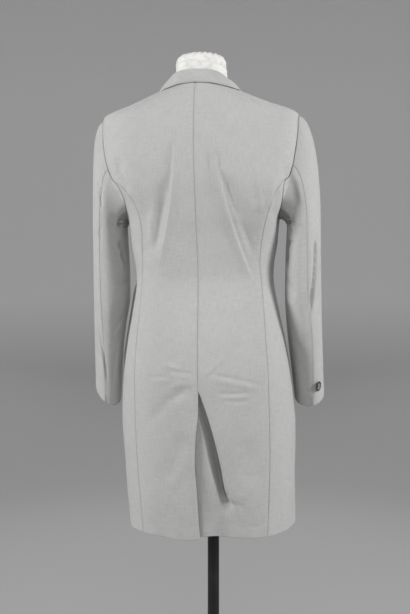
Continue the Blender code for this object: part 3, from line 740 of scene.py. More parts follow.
def add_node(made: bpy.types.Material, kind: str, links: dict | None = None, **settings) -> bpy.types.Node:
    """Adds a node to a material.

    Args:
        made: The material.
        kind: The node's type.
        links: Sockets to join or values to set, by the input's name or number.
        settings: Properties of the node.

    Returns:
        The new node.
    """
    node = made.node_tree.nodes.new(kind)
    for name, value in settings.items():
        setattr(node, name, value)
    set_inputs(made.node_tree, node, links or {})
    return node


def new_material(name: str) -> tuple[bpy.types.Material, bpy.types.Node]:
    """Makes a material with one principled shader, and returns both."""
    made = bpy.data.materials.new(name)
    made.use_nodes = True
    made.node_tree.nodes.clear()
    shader = add_node(made, "ShaderNodeBsdfPrincipled")
    add_node(made, "ShaderNodeOutputMaterial", {"Surface": shader.outputs[0]})
    return made, shader


class Look:
    """A material with one principled shader, built up from nodes.

    Attributes:
        made: The material.
        shader: Its shader.
    """

    # Bands in a metre for each unit of a wave texture's scale
    BANDS = 3.2

    def __init__(self, name: str) -> None:
        """Starts the material under this name."""
        self.made, self.shader = new_material(name)

    def node(self, kind: str, links: dict | None = None, out: int | str = 0, **settings) -> Socket:
        """Adds a node.

        Args:
            kind: The node's type.
            links: Sockets to join or values to set, by the input's name or number.
            out: The wanted output, by its name or number.
            settings: Properties of the node.

        Returns:
            The wanted output.
        """
        return add_node(self.made, kind, links, **settings).outputs[out]

    def place(self) -> Socket:
        """The place in the object's own metres."""
        return self.node("ShaderNodeTexCoord", out="Object")

    def cut(self) -> Socket:
        """The place on the flat cut cloth, in metres."""
        return self.node("ShaderNodeUVMap", uv_map="cut")

    def mark(self, name: str) -> Socket:
        """An attribute of the mesh, as one number."""
        return self.node("ShaderNodeAttribute", out="Fac", attribute_name=name)

    def stretched(self, place: Socket, size: tuple, turn: tuple = (0, 0, 0)) -> Socket:
        """A place scaled by a size and turned."""
        return self.node("ShaderNodeMapping", {"Vector": place, "Scale": size, "Rotation": turn})

    def noise(
        self, place: Socket, scale: float, detail: float, rough: float = 0.5, flat: bool = True
    ) -> Socket:
        """Uneven patches.

        Args:
            place: Where to read them.
            scale: About how many lie in one unit of the place.
            detail: How many times finer patches are added.
            rough: How strong the finer ones are.
            flat: Whether they lie on a sheet or fill space.

        Returns:
            Their height.
        """
        links = {"Vector": place, "Scale": scale, "Detail": detail, "Roughness": rough}
        return self.node("ShaderNodeTexNoise", links, noise_dimensions="2D" if flat else "3D")

    def spread(
        self, value: Socket, start: float = 0.0, end: float = 1.0, low: float = 0.0, high: float = 1.0
    ) -> Socket:
        """Maps the range from start to end onto the one from low to high."""
        links = {"Value": value, "From Min": start, "From Max": end, "To Min": low, "To Max": high}
        return self.node("ShaderNodeMapRange", links)

    def joined(self, first: Socket, second: Socket | float, operation: str = "ADD", **settings) -> Socket:
        """Joins two values into one."""
        return self.node("ShaderNodeMath", {0: first, 1: second}, operation=operation, **settings)

    def blend(self, share: Socket, low: str, high: str) -> Socket:
        """Blends two sRGB colours by a share."""
        return self.node("ShaderNodeMix", {0: share, 6: linear(low), 7: linear(high)}, out=2, data_type="RGBA")

    def relief(self, height: Socket, strength: float, distance: float) -> Socket:
        """Shades a height as fine relief."""
        return self.node("ShaderNodeBump", {"Height": height, "Strength": strength, "Distance": distance})

    def weave(self, cut: Socket, thread: float, waver: float, scale: float = 1.0) -> Socket:
        """The height of a plain weave.

        Args:
            cut: The place on the cut cloth.
            thread: Spacing of the threads in metres.
            waver: How far the threads waver.
            scale: How often they do.

        Returns:
            The height of the crossing threads.
        """
        links = {"Vector": cut, "Scale": 1 / thread / self.BANDS, "Distortion": waver, "Detail": 1.0}
        links["Detail Scale"] = scale
        waves = [self.node("ShaderNodeTexWave", links, out="Fac", bands_direction=way) for way in "XY"]
        return self.joined(*waves, "MULTIPLY")

    def finish(self, links: dict) -> bpy.types.Material:
        """Feeds the shader these sockets and values, and returns the material."""
        set_inputs(self.made.node_tree, self.shader, links)
        return self.made


@dataclass(frozen=True)
class WorstedWool:
    """Fine worsted wool in plain weave, piece dyed from a light grey mixture and pressed.

    Mixed light and dark fibres show as short uneven threads along and across the cloth, and a short nap makes
    it matte with a soft light at grazing angles.

    Attributes:
        light: Colour of the light threads.
        dark: Colour of the dark threads.
        thread: Spacing of the threads in metres. Real ones are 0.4 mm apart, too fine to show here.
        slub: Width and length of the uneven threads that show from afar.
    """

    light: str = "#bebebd"
    dark: str = "#b0b0af"
    thread: float = 0.0011
    slub: tuple[float, float] = (0.0017, 0.024)

    def make(self) -> bpy.types.Material:
        """Builds the material."""
        look = Look("worsted_wool_plain_weave")
        cut = look.cut()
        threads = []
        for across, along in (self.slub, self.slub[::-1]):
            place = look.stretched(cut, (1 / across, 1 / along, 1))
            threads.append(look.noise(place, 1.0, 2.0, 0.55))
        mixture = look.joined(*threads)
        tone = look.spread(look.noise(cut, 14.0, 3.0), 0.3, 0.7, -0.08, 0.08)
        share = look.joined(look.spread(mixture, 0.62, 1.38), tone)
        share = look.joined(share, look.joined(look.mark("pressed"), -0.35, "MULTIPLY"), use_clamp=True)
        height = look.joined(look.weave(cut, self.thread, 1.2, 0.4), mixture)
        links = {
            "Base Color": look.blend(share, self.dark, self.light),
            "Normal": look.relief(height, 0.35, 0.0003),
            "Roughness": 0.88,
            "Specular IOR Level": 0.22,
            "Sheen Weight": 0.18,
            "Sheen Roughness": 0.45,
        }
        return look.finish(links)


@dataclass(frozen=True)
class TurnedHorn:
    """Dark horn, turned on a lathe and polished on the rim, with a dished matte middle.

    Attributes:
        rim: Colour of the polished rim.
        streak: Colour of the lighter streaks, which lie only in the dished middle as horn grain and a painted
            highlight.
        grain: Width and length of the streaks in metres.
    """

    rim: str = "#1d1a18"
    streak: str = "#a59c92"
    grain: tuple[float, float] = (0.0016, 0.009)

    def make(self) -> bpy.types.Material:
        """Builds the material."""
        look = Look("turned_dark_horn")
        width, length = self.grain
        place = look.stretched(look.place(), (1 / length, 1 / length, 1 / width), (0.5, 0.4, 0.9))
        noise = look.noise(place, 1.0, 4.0, flat=False)
        # The dished middle gets lighter streaks: horn grain, and a painted highlight there.
        lift = look.joined(look.spread(noise, 0.3, 0.6), look.mark("middle"), "MULTIPLY")
        colour = look.blend(lift, self.rim, self.streak)
        return look.finish({"Base Color": colour, "Roughness": look.spread(noise, low=0.24, high=0.42)})


@dataclass(frozen=True)
class CottonTape:
    """Bleached cotton in a tight plain weave, pulled smooth over padding.

    Attributes:
        light: Colour of the clean cloth.
        shade: Colour of random soiling, and the painted shade along its edges.
        thread: Spacing of the threads in metres, drawn four times as coarse as real ones so that they show.
        name: The material's name.
    """

    light: str = "#e9e8e5"
    shade: str = "#bfbdb7"
    thread: float = 0.0012
    name: str = "bleached_cotton_tape"

    def make(self) -> bpy.types.Material:
        """Builds the material."""
        look = Look(self.name)
        cut = look.cut()
        soil = look.spread(look.noise(cut, 60.0, 4.0), 0.45, 0.75, 0.0, 0.5)
        # On the neck tape the pressed mark is painted shade along the tape's edges, and soil is random soiling.
        share = look.joined(soil, look.mark("pressed"), "MAXIMUM")
        links = {
            "Base Color": look.blend(share, self.light, self.shade),
            "Normal": look.relief(look.weave(cut, self.thread, 0.8), 0.3, 0.0003),
            "Roughness": 0.8,
            "Sheen Weight": 0.1,
        }
        return look.finish(links)


@dataclass(frozen=True)
class PowderCoat:
    """Steel tube and plate with a satin black powder coat, a little worn to grey where hands and floors rub.

    Attributes:
        coat: Colour of the coat.
        worn: Colour of rubbed places.
        grit: Size of the coat's orange peel in metres, drawn twice as coarse as the real one so that it shows.
    """

    coat: str = "#0c0c0c"
    worn: str = "#1d1d1c"
    grit: float = 0.0014

    def make(self) -> bpy.types.Material:
        """Builds the material."""
        look = Look("black_powder_coated_steel")
        place = look.place()
        peel = look.noise(place, 1 / self.grit, 2.0, flat=False)
        wear = look.noise(place, 22.0, 5.0, 0.65, flat=False)
        links = {
            "Base Color": look.blend(look.spread(wear, 0.52, 0.74), self.coat, self.worn),
            "Roughness": look.spread(wear, low=0.32, high=0.52),
            "Normal": look.relief(peel, 0.25, 0.0002),
        }
        made = look.finish(links)
        return made


@dataclass(frozen=True)
class SewingThread:
    """Spun polyester thread, twisted, used to sew the buttons on and to edge the buttonholes."""

    colour: str = "#8d8d8b"
    twist: float = 0.0006

    def make(self) -> bpy.types.Material:
        """Builds the material."""
        made, shader = new_material("twisted_sewing_thread")
        place = add_node(made, "ShaderNodeTexCoord").outputs["Object"]
        wave = add_node(
            made,
            "ShaderNodeTexWave",
            {"Vector": place, "Scale": 1 / self.twist / 3.2, "Distortion": 0.5},
            bands_direction="DIAGONAL",
        )
        bump = add_node(made, "ShaderNodeBump", {"Height": wave.outputs["Fac"], "Strength": 0.4, "Distance": 0.0002})
        made.node_tree.links.new(bump.outputs[0], shader.inputs["Normal"])
        shader.inputs["Base Color"].default_value = linear(self.colour)
        shader.inputs["Roughness"].default_value = 0.7
        return made


class Workroom:
    """Holds the finishes, and turns grids of points into pieces."""

    def __init__(self) -> None:
        """Makes each finish once."""
        self.wool = WorstedWool().make()
        self.horn = TurnedHorn().make()
        self.tape = CottonTape().make()
        self.jersey = CottonTape(light="#e6e4df", shade="#cfccc4", thread=0.0016, name="cotton_jersey_cover").make()
        self.paint = PowderCoat().make()
        self.thread = SewingThread().make()
        names, rows = read_rows(CUTS)
        self.cuts = {row[0]: [float(item) for item in row[1:]] for row in rows}
        self.offset = 0.0

    def finish_object(self, name: str, shape: bmesh.types.BMesh, look: bpy.types.Material, sharp: float = 50) -> bpy.types.Object:
        """Turns a bmesh into a named object that rides on the body.

        Args:
            name: The piece's name.
            shape: Its mesh, freed here.
            look: Its material.
            sharp: Edges that turn more than this many degrees stay sharp.

        Returns:
            The new object.
        """
        mesh = bpy.data.meshes.new(name)
        shape.to_mesh(mesh)
        shape.free()
        mesh.shade_smooth()
        mesh.set_sharp_from_angle(angle=math.radians(sharp))
        mesh.materials.append(look)
        made = bpy.data.objects.new(name, mesh)
        bpy.context.scene.collection.objects.link(made)
        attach(made, BODY)
        return made

    def lay_grid(self, points: np.ndarray, pressed: np.ndarray, cells: np.ndarray | None = None, weld: bool = False) -> bmesh.types.BMesh:
        """Moves a flat grid of cloth to its worn place, and keeps its flat place as its UV map.

        Args:
            points: Where each corner of the grid goes, in rows from the hem up.
            pressed: From 0 to 1, how hard each corner is pressed flat; on the neck tape, how much painted shade lies
                along its edges.
            cells: Which cells of the grid are there. All are if it is None.
            weld: Whether its first and last columns are joined.

        Returns:
            The mesh of the cloth's outer side.
        """
        rows, columns = points.shape[:2]
        across, up = run_along(points, 1), run_along(points, 0)
        self.offset += 1.37
        shape = bmesh.new()
        bmesh.ops.create_grid(shape, x_segments=columns - 1, y_segments=rows - 1, size=0.5)
        cut = shape.loops.layers.uv.new("cut")
        # The pressed mark: pressed edges of the wool, and painted shade along the neck tape's edges.
        press = shape.verts.layers.float.new("pressed")
        places = {}
        for vert in shape.verts:
            i = round((vert.co.y + 0.5) * (rows - 1))
            j = round((vert.co.x + 0.5) * (columns - 1))
            places[vert] = (i, j)
            vert.co = points[i, j]
            vert[press] = pressed[i, j]
        missing = []
        for face in shape.faces:
            corners = [places[loop.vert] for loop in face.loops]
            for loop, (i, j) in zip(face.loops, corners):
                loop[cut].uv = (across[i, j] + self.offset, up[i, j])
            low = (min(i for i, _ in corners), min(j for _, j in corners))
            if cells is not None and not cells[low]:
                missing.append(face)
        if missing:
            bmesh.ops.delete(shape, geom=missing, context="FACES")
        if weld:
            bmesh.ops.remove_doubles(shape, verts=shape.verts, dist=1e-6)
        return shape

    def cloth(self, name: str, points: np.ndarray, outward: Callable[[np.ndarray], np.ndarray], pressed: np.ndarray, cells: np.ndarray | None = None, thickness: float = CLOTH) -> bpy.types.Object:
        """Makes a sewn piece of the coat from its outer points.

        Args:
            name: The piece's name, which is the CAD node's with cloth before it.
            points: Its outer points in rows and columns.
            outward: Gives a rough outward direction for each point.
            pressed: How hard each point is pressed.
            cells: Which cells are there.
            thickness: The cloth's thickness.

        Returns:
            The piece.
        """
        shape = self.lay_grid(points, pressed, cells)
        shape.normal_update()
        rough = outward(points)
        middle = tuple(n // 2 for n in points.shape[:2])
        face = min(shape.faces, key=lambda f: (f.calc_center_median() - Vector(points[middle])).length)
        if face.normal.dot(Vector(rough[middle])) < 0:
            bmesh.ops.reverse_faces(shape, faces=shape.faces)
        made = self.finish_object(f"cloth_{name}", shape, self.wool, sharp=75)
        wall = made.modifiers.new("wall", "SOLIDIFY")
        wall.thickness = thickness
        wall.offset = -1
        wall.use_even_offset = False
        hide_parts(name)
        log.info("%s: %d rows, %d columns", made.name, *points.shape[:2])
        return made


def body_outward(points: np.ndarray) -> np.ndarray:
    """A rough outward direction for points of the coat's body."""
    away = points.copy()
    away[..., 0] -= WORN.lean(points[..., 2])
    away[..., 2] = 0
    return away / (np.linalg.norm(away, axis=-1, keepdims=True) + 1e-9)


@dataclass
class CoatBody:
    """The six panels of the coat's body.

    Attributes:
        row: Height of a row of cells.
        back_cells: Even cells across a back panel.
        side_cells: Even cells across a side panel.
        front_cells: Even cells across a front panel.
        overlap: How far each front reaches past the middle line.
        hem_band: Height of the turned-up hem that shows through as a faint line.
        underlap: How far the right back reaches under the left one at the vent.
        kick: How far the vent's free edge stands out at the hem.
    """

    row: float = 0.0032
    back_cells: int = 62
    side_cells: int = 44
    front_cells: int = 54
    overlap: float = 0.024
    hem_band: float = 0.022
    underlap: float = 0.045
    kick: float = 0.003
    vent: Table = field(default_factory=lambda: Table(VENT))
    back_creases: list[Crease] = field(default_factory=lambda: read_creases(BACK_CREASES))

    def heights(self, top: float, marks: tuple[float, ...]) -> np.ndarray:
        """Heights of a panel's rows.

        Args:
            top: The highest row.
            marks: Heights that have a row of their own.

        Returns:
            The heights from the hem up, close together at the hem.
        """
        marks = [HEM_Z + EDGE_STEPS[-1], *[m for m in marks if m < top - 1e-6], top]
        rows = [HEM_Z + EDGE_STEPS]
        for low, high in zip(marks, marks[1:]):
            count = max(1, round((high - low) / self.row))
            rows.append(np.linspace(low, high, count + 1)[1:])
        return np.concatenate(rows)

    def hem_form(self, z: np.ndarray, angle: np.ndarray) -> np.ndarray:
        """How far the turned-up hem and its slight waves move the cloth out."""
        above = z - HEM_Z
        band = 0.00035 * (1 - ease((above - self.hem_band) / 0.002))
        groove = -0.0004 * np.exp(-(((above - self.hem_band) / 0.0016) ** 2))
        roll = -seam_roll(above, 0.0008, 0.0014)
        wave = np.sin(angle * 7.3 + 0.8) * 0.0016 + np.sin(angle * 16.1 + 2.0) * 0.0008
        return band + groove + roll + wave * (1 - ease(above / 0.11))

    def round_relief(self, side: int, z: np.ndarray, angle: np.ndarray) -> np.ndarray:
        """The creases of the sides and the front."""
        metres = math.radians(1) * 0.165
        creases = read_creases(ROUND_CREASES, side, metres)
        return relief_of(creases, np.degrees(angle) * metres, z)

    def placed(self, side: int, z: np.ndarray, angle: np.ndarray, out: np.ndarray) -> np.ndarray:
        """Points of the worn shape with their creases, moved out.

        Args:
            side: 1 for the wearer's left and -1 for the right.
            z: Heights.
            angle: Turns from the middle of the back.
            out: How far each point is moved out.

        Returns:
            The points.
        """
        turned = side * angle
        point, normal = WORN.point(z, turned), WORN.normal(z, turned)
        from_middle = point[..., 0] - WORN.lean(z)
        behind = ease((np.cos(turned) - 0.02) / 0.12)
        relief = relief_of(self.back_creases, from_middle, z) * behind
        relief += self.round_relief(side, z, angle)
        total = relief + out + self.hem_form(z, turned)
        point = point + normal * total[..., None]
        low = ease((0.60 - z) / 0.10)
        point[..., 2] += self.hem_drop(side, side * from_middle) * low * behind
        point[..., 2] += 0.007 * np.sin(angle) ** 4 * low
        return point

    def hem_drop(self, side: int, x: np.ndarray) -> np.ndarray:
        """How far the hem hangs higher or lower at x from the middle line."""
        if side > 0:
            low = -0.0028 * np.exp(-(((x - 0.045) / 0.030) ** 2))
            return low + 0.0034 * np.exp(-((x / 0.012) ** 2))
        return 0.0030 * np.exp(-(((x - 0.010) / 0.035) ** 2))

    def hang(self, side: int, x: np.ndarray, z: np.ndarray) -> np.ndarray:
        """How the lower right back hangs further in than the left one."""
        if side > 0:
            return np.zeros(np.shape(z))
        across = np.exp(-(((x - 0.045) / 0.050) ** 2))
        return -0.0140 * across * ease((0.74 - z) / 0.26)

    def back(self, room: Workroom, side: int, word: str) -> None:
        """Makes a back panel. The left one's free edge lies over the right one's turned-in vent."""
        z = self.heights(NECK_SEAM_Z, (VENT_TOP_Z, PANEL_SEAM_TOP_Z, SHOULDER_TIP_Z))
        in_vent = z <= VENT_TOP_Z + 1e-9
        end = WORN.seam_angle(z)
        free = self.vent.at(z, "edge") * in_vent * (side > 0)
        start = WORN.angle_at(z, free)
        half_gap = SEAM_GAP / 2
        angles, distances, widths = [], [], []
        for k, height in enumerate(z):
            first, last = start[k], end[k]
            shares, places, width = spread_row(lambda s: WORN.point(height, side * (first + (last - first) * s)), self.back_cells)
            angles.append(first + (last - first) * shares)
            distances.append(places)
            widths.append(width)
        angle, from_start = np.array(angles), np.array(distances)
        to_end = np.array(widths)[:, None] - from_start
        scale = (np.array(end) - start)[:, None] / np.array(widths)[:, None]
        angle = angle + scale * half_gap * (1 - from_start / 0.004).clip(0, 1) * (1 - in_vent * (side < 0))[:, None]
        angle = angle - scale * half_gap * (1 - to_end / 0.004).clip(0, 1)
        height = np.repeat(z[:, None], angle.shape[1], axis=1)
        out = -seam_roll(to_end) + 0.0002 * np.exp(-(((to_end - 0.007) / 0.0015) ** 2))
        middle_seam = seam_roll(from_start, 0.0009) - 0.00025 * np.exp(-(((from_start - 0.0025) / 0.0012) ** 2)) * (side > 0)
        edge_band = 0.0007 * (1 - ease((from_start - 0.0045) / 0.002)) - seam_roll(from_start, 0.0016, 0.0022)
        x = side * (WORN.point(height, side * angle)[..., 0] - WORN.lean(height))
        low = in_vent[:, None]
        pressed = np.exp(-((to_end / 0.003) ** 2))
        if side > 0:
            near = 1 - ease((x - free[:, None]) / 0.05)
            drop = ease((VENT_TOP_Z - height) / 0.12)
            out += np.where(low, edge_band + self.kick * near * drop, -middle_seam)
        else:
            out += np.where(low, -self.vent_depth(height, x), -middle_seam)
            out += self.hang(side, x, height)
        pressed = np.maximum(pressed, np.exp(-((from_start / 0.003) ** 2)))
        points = self.placed(side, height, angle, out)
        cells = None
        if side < 0:
            lap = np.linspace(1, 0, 15)[:-1]
            lap_angle = -WORN.angle_at(z, self.underlap)[:, None] * lap[None, :]
            lap_z = np.repeat(z[:, None], len(lap), axis=1)
            lap_x = -self.underlap * lap[None, :] * np.ones_like(lap_z)
            shelf = -self.vent_depth(lap_z, lap_x)
            shelf += self.hang(side, np.zeros_like(lap_z), lap_z)
            under = self.placed(side, lap_z, lap_angle, shelf)
            points = np.concatenate([under, points], axis=1)
            pressed = np.concatenate([np.zeros_like(lap_z), pressed], axis=1)
            cells = np.ones((len(z) - 1, points.shape[1] - 1), bool)
            cells[z[1:] > VENT_TOP_Z + 1e-9, : len(lap)] = False
        room.cloth(f"back_{word}", points, body_outward, pressed, cells)

    def vent_depth(self, z: np.ndarray, x: np.ndarray) -> np.ndarray:
        """How far the right back is turned in at x right of the middle: a soft slope, then a steep wall."""
        left, right = self.vent.at(z, "left"), self.vent.at(z, "right")
        depth, shelf = self.vent.at(z, "depth"), self.vent.at(z, "shelf")
        slope = ease((x - left + 0.003) / np.maximum((right - left) * 0.7, 0.004))
        run = self.vent.at(z, "run")
        wall = 1 - ease((x - right) / run + 0.5)
        return (shelf + (depth - shelf) * slope) * wall

    def side_panel(self, room: Workroom, side: int, word: str) -> None:
        """Makes a side panel, from the back seam round to the front seam, with its armhole edge."""
        level = self.heights(ARM_ROWS_Z, ())
        rises = np.concatenate([np.linspace(0, 1, 30)[1:-1], [0.975, 0.99, 1.0]])
        steps = [(z, 0.0) for z in level] + [(ARM_ROWS_Z, rise) for rise in rises]

        def height_at(step: tuple[float, float], share: np.ndarray) -> np.ndarray:
            """The row's height: level rows, then rows that rise to the armhole."""
            most = PANEL_SEAM_TOP_Z - ARMHOLE_FLOOR_Z
            top = ARMHOLE_FLOOR_Z + most * np.abs(2 * share - 1) ** 2.2
            return step[0] + step[1] * (top - step[0])

        def angle_for(step: tuple[float, float], share: np.ndarray) -> tuple[np.ndarray, np.ndarray]:
            """The row's height and turn at each share."""
            z = height_at(step, share)
            start, end = WORN.seam_angle(z), WORN.seam_angle(z, True)
            return z, start + (end - start) * share

        heights, angles, starts, ends = [], [], [], []
        for step in steps:

            def curve(share: np.ndarray) -> np.ndarray:
                """A point for each share of this row."""
                z, angle = angle_for(step, share)
                return WORN.point(z, side * angle)

            shares, places, width = spread_row(curve, self.side_cells)
            z, angle = angle_for(step, shares)
            turn = (angle[-1] - angle[0]) / width * SEAM_GAP / 2
            angle = angle + turn * (1 - places / 0.004).clip(0, 1)
            angle = angle - turn * (1 - (width - places) / 0.004).clip(0, 1)
            heights.append(z)
            angles.append(angle)
            starts.append(places)
            ends.append(width - places)
        z, angle = np.array(heights), np.array(angles)
        near = np.minimum(np.array(starts), np.array(ends))
        out = -seam_roll(near) + 0.0002 * np.exp(-(((near - 0.007) / 0.0015) ** 2))
        top = ARMHOLE_FLOOR_Z + (z[-1] - ARMHOLE_FLOOR_Z)
        out -= seam_roll(np.abs(top[None, :] - z) + (z < ARM_ROWS_Z) * 1.0, 0.0011, 0.0022)
        pressed = np.exp(-((near / 0.003) ** 2))
        points = self.placed(side, z, angle, out)
        room.cloth(f"side_{word}", points, body_outward, pressed)

    def front(self, room: Workroom, side: int, word: str) -> None:
        """Makes a front panel. Above the closing its edge follows the lapel's roll line."""
        marks = (BREAK_Z, BREAK_Z + BREAK_RUN, PANEL_SEAM_TOP_Z, SHOULDER_TIP_Z)
        z = self.heights(FRONT_TOP_Z - 0.0004, marks)
        start = WORN.seam_angle(z, True)
        past = 2 * math.pi - WORN.angle_at(z, self.overlap, front=True)
        roll = WORN.angle_at(z, REVERS.roll_x(z), front=True)
        end = np.where(z > BREAK_Z, past + (roll - past) * ease((z - BREAK_Z) / BREAK_RUN), past)
        angles, distances, widths = [], [], []
        for k, height in enumerate(z):
            first, last = start[k], end[k]
            shares, places, width = spread_row(lambda s: WORN.point(height, side * (first + (last - first) * s)), self.front_cells)
            angles.append(first + (last - first) * shares)
            distances.append(places)
            widths.append(width)
        angle, from_start = np.array(angles), np.array(distances)
        to_end = np.array(widths)[:, None] - from_start
        turn = (end - start)[:, None] / np.array(widths)[:, None] * SEAM_GAP / 2
        angle = angle + turn * (1 - from_start / 0.004).clip(0, 1)
        height = np.repeat(z[:, None], angle.shape[1], axis=1)
        edge_band = 0.0006 * (1 - ease((to_end - 0.0045) / 0.002)) - seam_roll(to_end, 0.0014, 0.0020)
        out = -seam_roll(from_start) + np.where(height < BREAK_Z, edge_band, 0.0)
        out += front_lift(side, height, angle)
        pressed = np.maximum(np.exp(-((from_start / 0.003) ** 2)), np.exp(-((to_end / 0.004) ** 2)))
        points = self.placed(side, height, angle, out)
        room.cloth(f"front_{word}", points, body_outward, pressed)

    def build(self, room: Workroom) -> None:
        """Makes all six panels."""
        for side, word in ((1, "left"), (-1, "right")):
            self.back(room, side, word)
            self.side_panel(room, side, word)
            self.front(room, side, word)


def front_lift(side: int, z, angle) -> np.ndarray:
    """The right front lies on the left one past the middle line."""
    if side > 0:
        return np.zeros(np.shape(z))
    x = -(WORN.point(z, -angle)[..., 0] - WORN.lean(z))
    near = ease((-x + 0.024 + 0.030) / 0.030)
    return (CLOTH + LAYER_GAP) * near * ease((1.185 - z) / 0.060)


def front_skin(side: int, x, z, out) -> np.ndarray:
    """Points on the front at x from the middle line, moved out from the cloth."""
    x, z, out = np.broadcast_arrays(*(np.asarray(v, float) for v in (x, z, out)))
    angle = WORN.angle_at(z, np.abs(x), front=True)
    angle = np.where(x >= 0, angle, 2 * math.pi - angle)
    lifted = out + front_lift(side, z, angle)
    return WORN.point(z, side * angle) + WORN.normal(z, side * angle) * lifted[..., None]


@dataclass
class Revers:
    """Both lapels and the turned collar.

    Attributes:
        roll_top: Upper end of the roll line, from the middle line and up.
        lapel_tip: The lapel's point.
        lapel_foot: Where its outer edge starts.
        collar_tip: The collar's point.
        notch: Share of the gorge at which the collar ends.
    """

    roll_top: tuple[float, float] = (0.0560, 1.4200)
    lapel_tip: tuple[float, float] = (0.1000, 1.3300)
    lapel_foot: tuple[float, float] = (0.0100, 1.1310)
    lapel_foot_z: float = 1.135
    lapel_top_z: float = 1.372
    belly: float = 0.008
    collar_tip: tuple[float, float] = (0.0990, 1.3660)
    notch: float = 0.62
    roll_height: float = 0.0075
    fold_radius: float = 0.0040
    line: Table = field(default_factory=lambda: Table(COLLAR))

    def roll_x(self, z) -> np.ndarray:
        """The lapel's roll line, as the distance from the middle line."""
        return self.roll_top[0] * (np.asarray(z) - BREAK_Z) / (self.roll_top[1] - BREAK_Z)

    def lapel(self, room: Workroom, side: int, word: str) -> None:
        """Makes a lapel: columns run from the front's edge over the roll to the outer edge."""
        share = np.linspace(0, 1, 11)[:, None]
        roll_z = self.lapel_foot_z + (self.lapel_top_z - self.lapel_foot_z) * share
        belly = np.sin(math.pi * share) * self.belly
        edge_x = self.lapel_foot[0] + (self.lapel_tip[0] - self.lapel_foot[0]) * share**1.15 + belly
        edge_z = self.lapel_foot[1] + (self.lapel_tip[1] - self.lapel_foot[1]) * share
        at = self.roll_x(roll_z)
        turn_x = np.array([[-0.0009, -0.0034, -0.0056, -0.0056, -0.0034]])
        turn_out = np.array([[-0.0025, -0.0020, 0.0008, 0.0042, 0.0068]])
        part = np.linspace(0, 1, 6)[None, :]
        resting = CLOTH + LAYER_GAP
        lie = resting + (self.roll_height - resting) * (1 - ease(part * 1.4)) + CLOTH
        turn = front_skin(side, at + turn_x, roll_z + 0 * turn_x, turn_out + 0 * roll_z)
        flat = front_skin(side, at + (edge_x - at) * part, roll_z + (edge_z - roll_z) * part, lie + 0 * share)
        coarse = np.concatenate([turn, flat], axis=1)
        self.finish(room, f"lapel_{word}", coarse, 84, 52, body_outward)

    def finish(self, room: Workroom, name: str, coarse: np.ndarray, rows: int, columns: int, outward: Callable[[np.ndarray], np.ndarray]) -> None:
        """Refines a coarse grid, rounds its free edges and makes the piece."""
        tight = np.array([0.0, 0.02, 0.06, 0.12])

        def places(count: int, cells: int) -> np.ndarray:
            """Places along an axis, closer beside both ends."""
            middle = np.linspace(tight[-1], count - 1 - tight[-1], cells)[1:-1]
            return np.concatenate([tight, middle, count - 1 - tight[::-1]])

        points = smoothed(coarse, places(coarse.shape[0], rows), 0)
        points = smoothed(points, places(coarse.shape[1], columns), 1)
        normals = grid_normals(points, outward)
        up, across = run_along(points, 0), run_along(points, 1)
        edge = np.minimum(np.minimum(up, up[-1:] - up), across[:, -1:] - across)
        stitched = -0.00025 * np.exp(-(((edge - 0.006) / 0.0012) ** 2))
        dip = seam_roll(edge, 0.0022, 0.0046)
        points = points + normals * (stitched - dip)[..., None]
        pressed = np.exp(-((edge / 0.004) ** 2))
        room.cloth(name, points, outward, pressed, thickness=COLLAR_CLOTH)

    def collar_half(self) -> np.ndarray:
        """One half of the collar, from the middle of the back to the notch: rows run seat, fold, edge."""
        stations = []
        up = np.array([0.0, 0.0, 1.0])
        for along in np.linspace(0, self.line.keys[-1], 10):
            seat, fold, edge = (np.array([self.line.at(along, f"{part}_{axis}") for axis in "xyz"]) for part in ("seat", "fold", "edge"))
            out = edge - fold
            out[2] = 0
            out = out / np.linalg.norm(out)
            crest = fold + out * self.fold_radius
            path = [seat, seat + (fold - seat) * 0.55]
            for degrees in (180, 130, 80, 30):
                turn = math.radians(degrees)
                path.append(crest + self.fold_radius * (out * math.cos(turn) + up * math.sin(turn)))
            last = path[-1]
            for share in (0.3, 0.65, 1.0):
                sag = 0.0022 * math.sin(math.pi * share)
                path.append(last + (edge - last) * share + (out * 0.6 + up) * sag)
            stations.append(path)
        return np.array(stations)

    def collar_front(self) -> np.ndarray:
        """The collar's front stretch, which lies on the front and ends at the notch."""
        gorge = (float(self.roll_x(self.lapel_top_z)), self.lapel_top_z)
        notch_x = gorge[0] + (self.lapel_tip[0] - gorge[0]) * self.notch
        notch_z = gorge[1] + (self.lapel_tip[1] - gorge[1]) * self.notch + 0.0009
        ends = np.array([(0.0935, 1.4090), (0.0985, 1.3930), (0.1005, 1.3790), self.collar_tip, (notch_x, notch_z)])
        rolls = np.array([1.4220, 1.4080, 1.3950, 1.3850, self.lapel_top_z + 0.0009])[:, None]
        at = self.roll_x(rolls)
        turn_x = np.array([[-0.0012, -0.0028, -0.0050, -0.0056, -0.0044, -0.0010]])
        turn_out = np.array([[-0.0025, -0.0022, 0.0, 0.0036, 0.0066, 0.0085]])
        part = np.array([[0.3, 0.65, 1.0]])
        resting = CLOTH + 2 * LAYER_GAP + 0.0022
        lie = resting + (self.roll_height - resting) * (1 - ease(part))
        turn = front_skin(1, at + turn_x, rolls + 0 * turn_x, turn_out + 0 * rolls)
        flat = front_skin(1, at + (ends[:, :1] - at) * part, rolls + (ends[:, 1:] - rolls) * part, lie + 0 * rolls)
        return np.concatenate([turn, flat], axis=1)

    def collar(self, room: Workroom) -> None:
        """Makes the whole collar from the wearer's right end to the left."""
        back = self.collar_half()
        back[..., 0] += WORN.lean(back[..., 2])
        half = np.concatenate([back, self.collar_front()])
        mirror = half.copy()
        mirror[..., 0] = 2 * WORN.lean(half[..., 2]) - half[..., 0]
        coarse = np.concatenate([mirror[:0:-1], half])

        def outward(points: np.ndarray) -> np.ndarray:
            """Up and away from the neck."""
            away = body_outward(points)
            away[..., 2] += 0.5
            return away

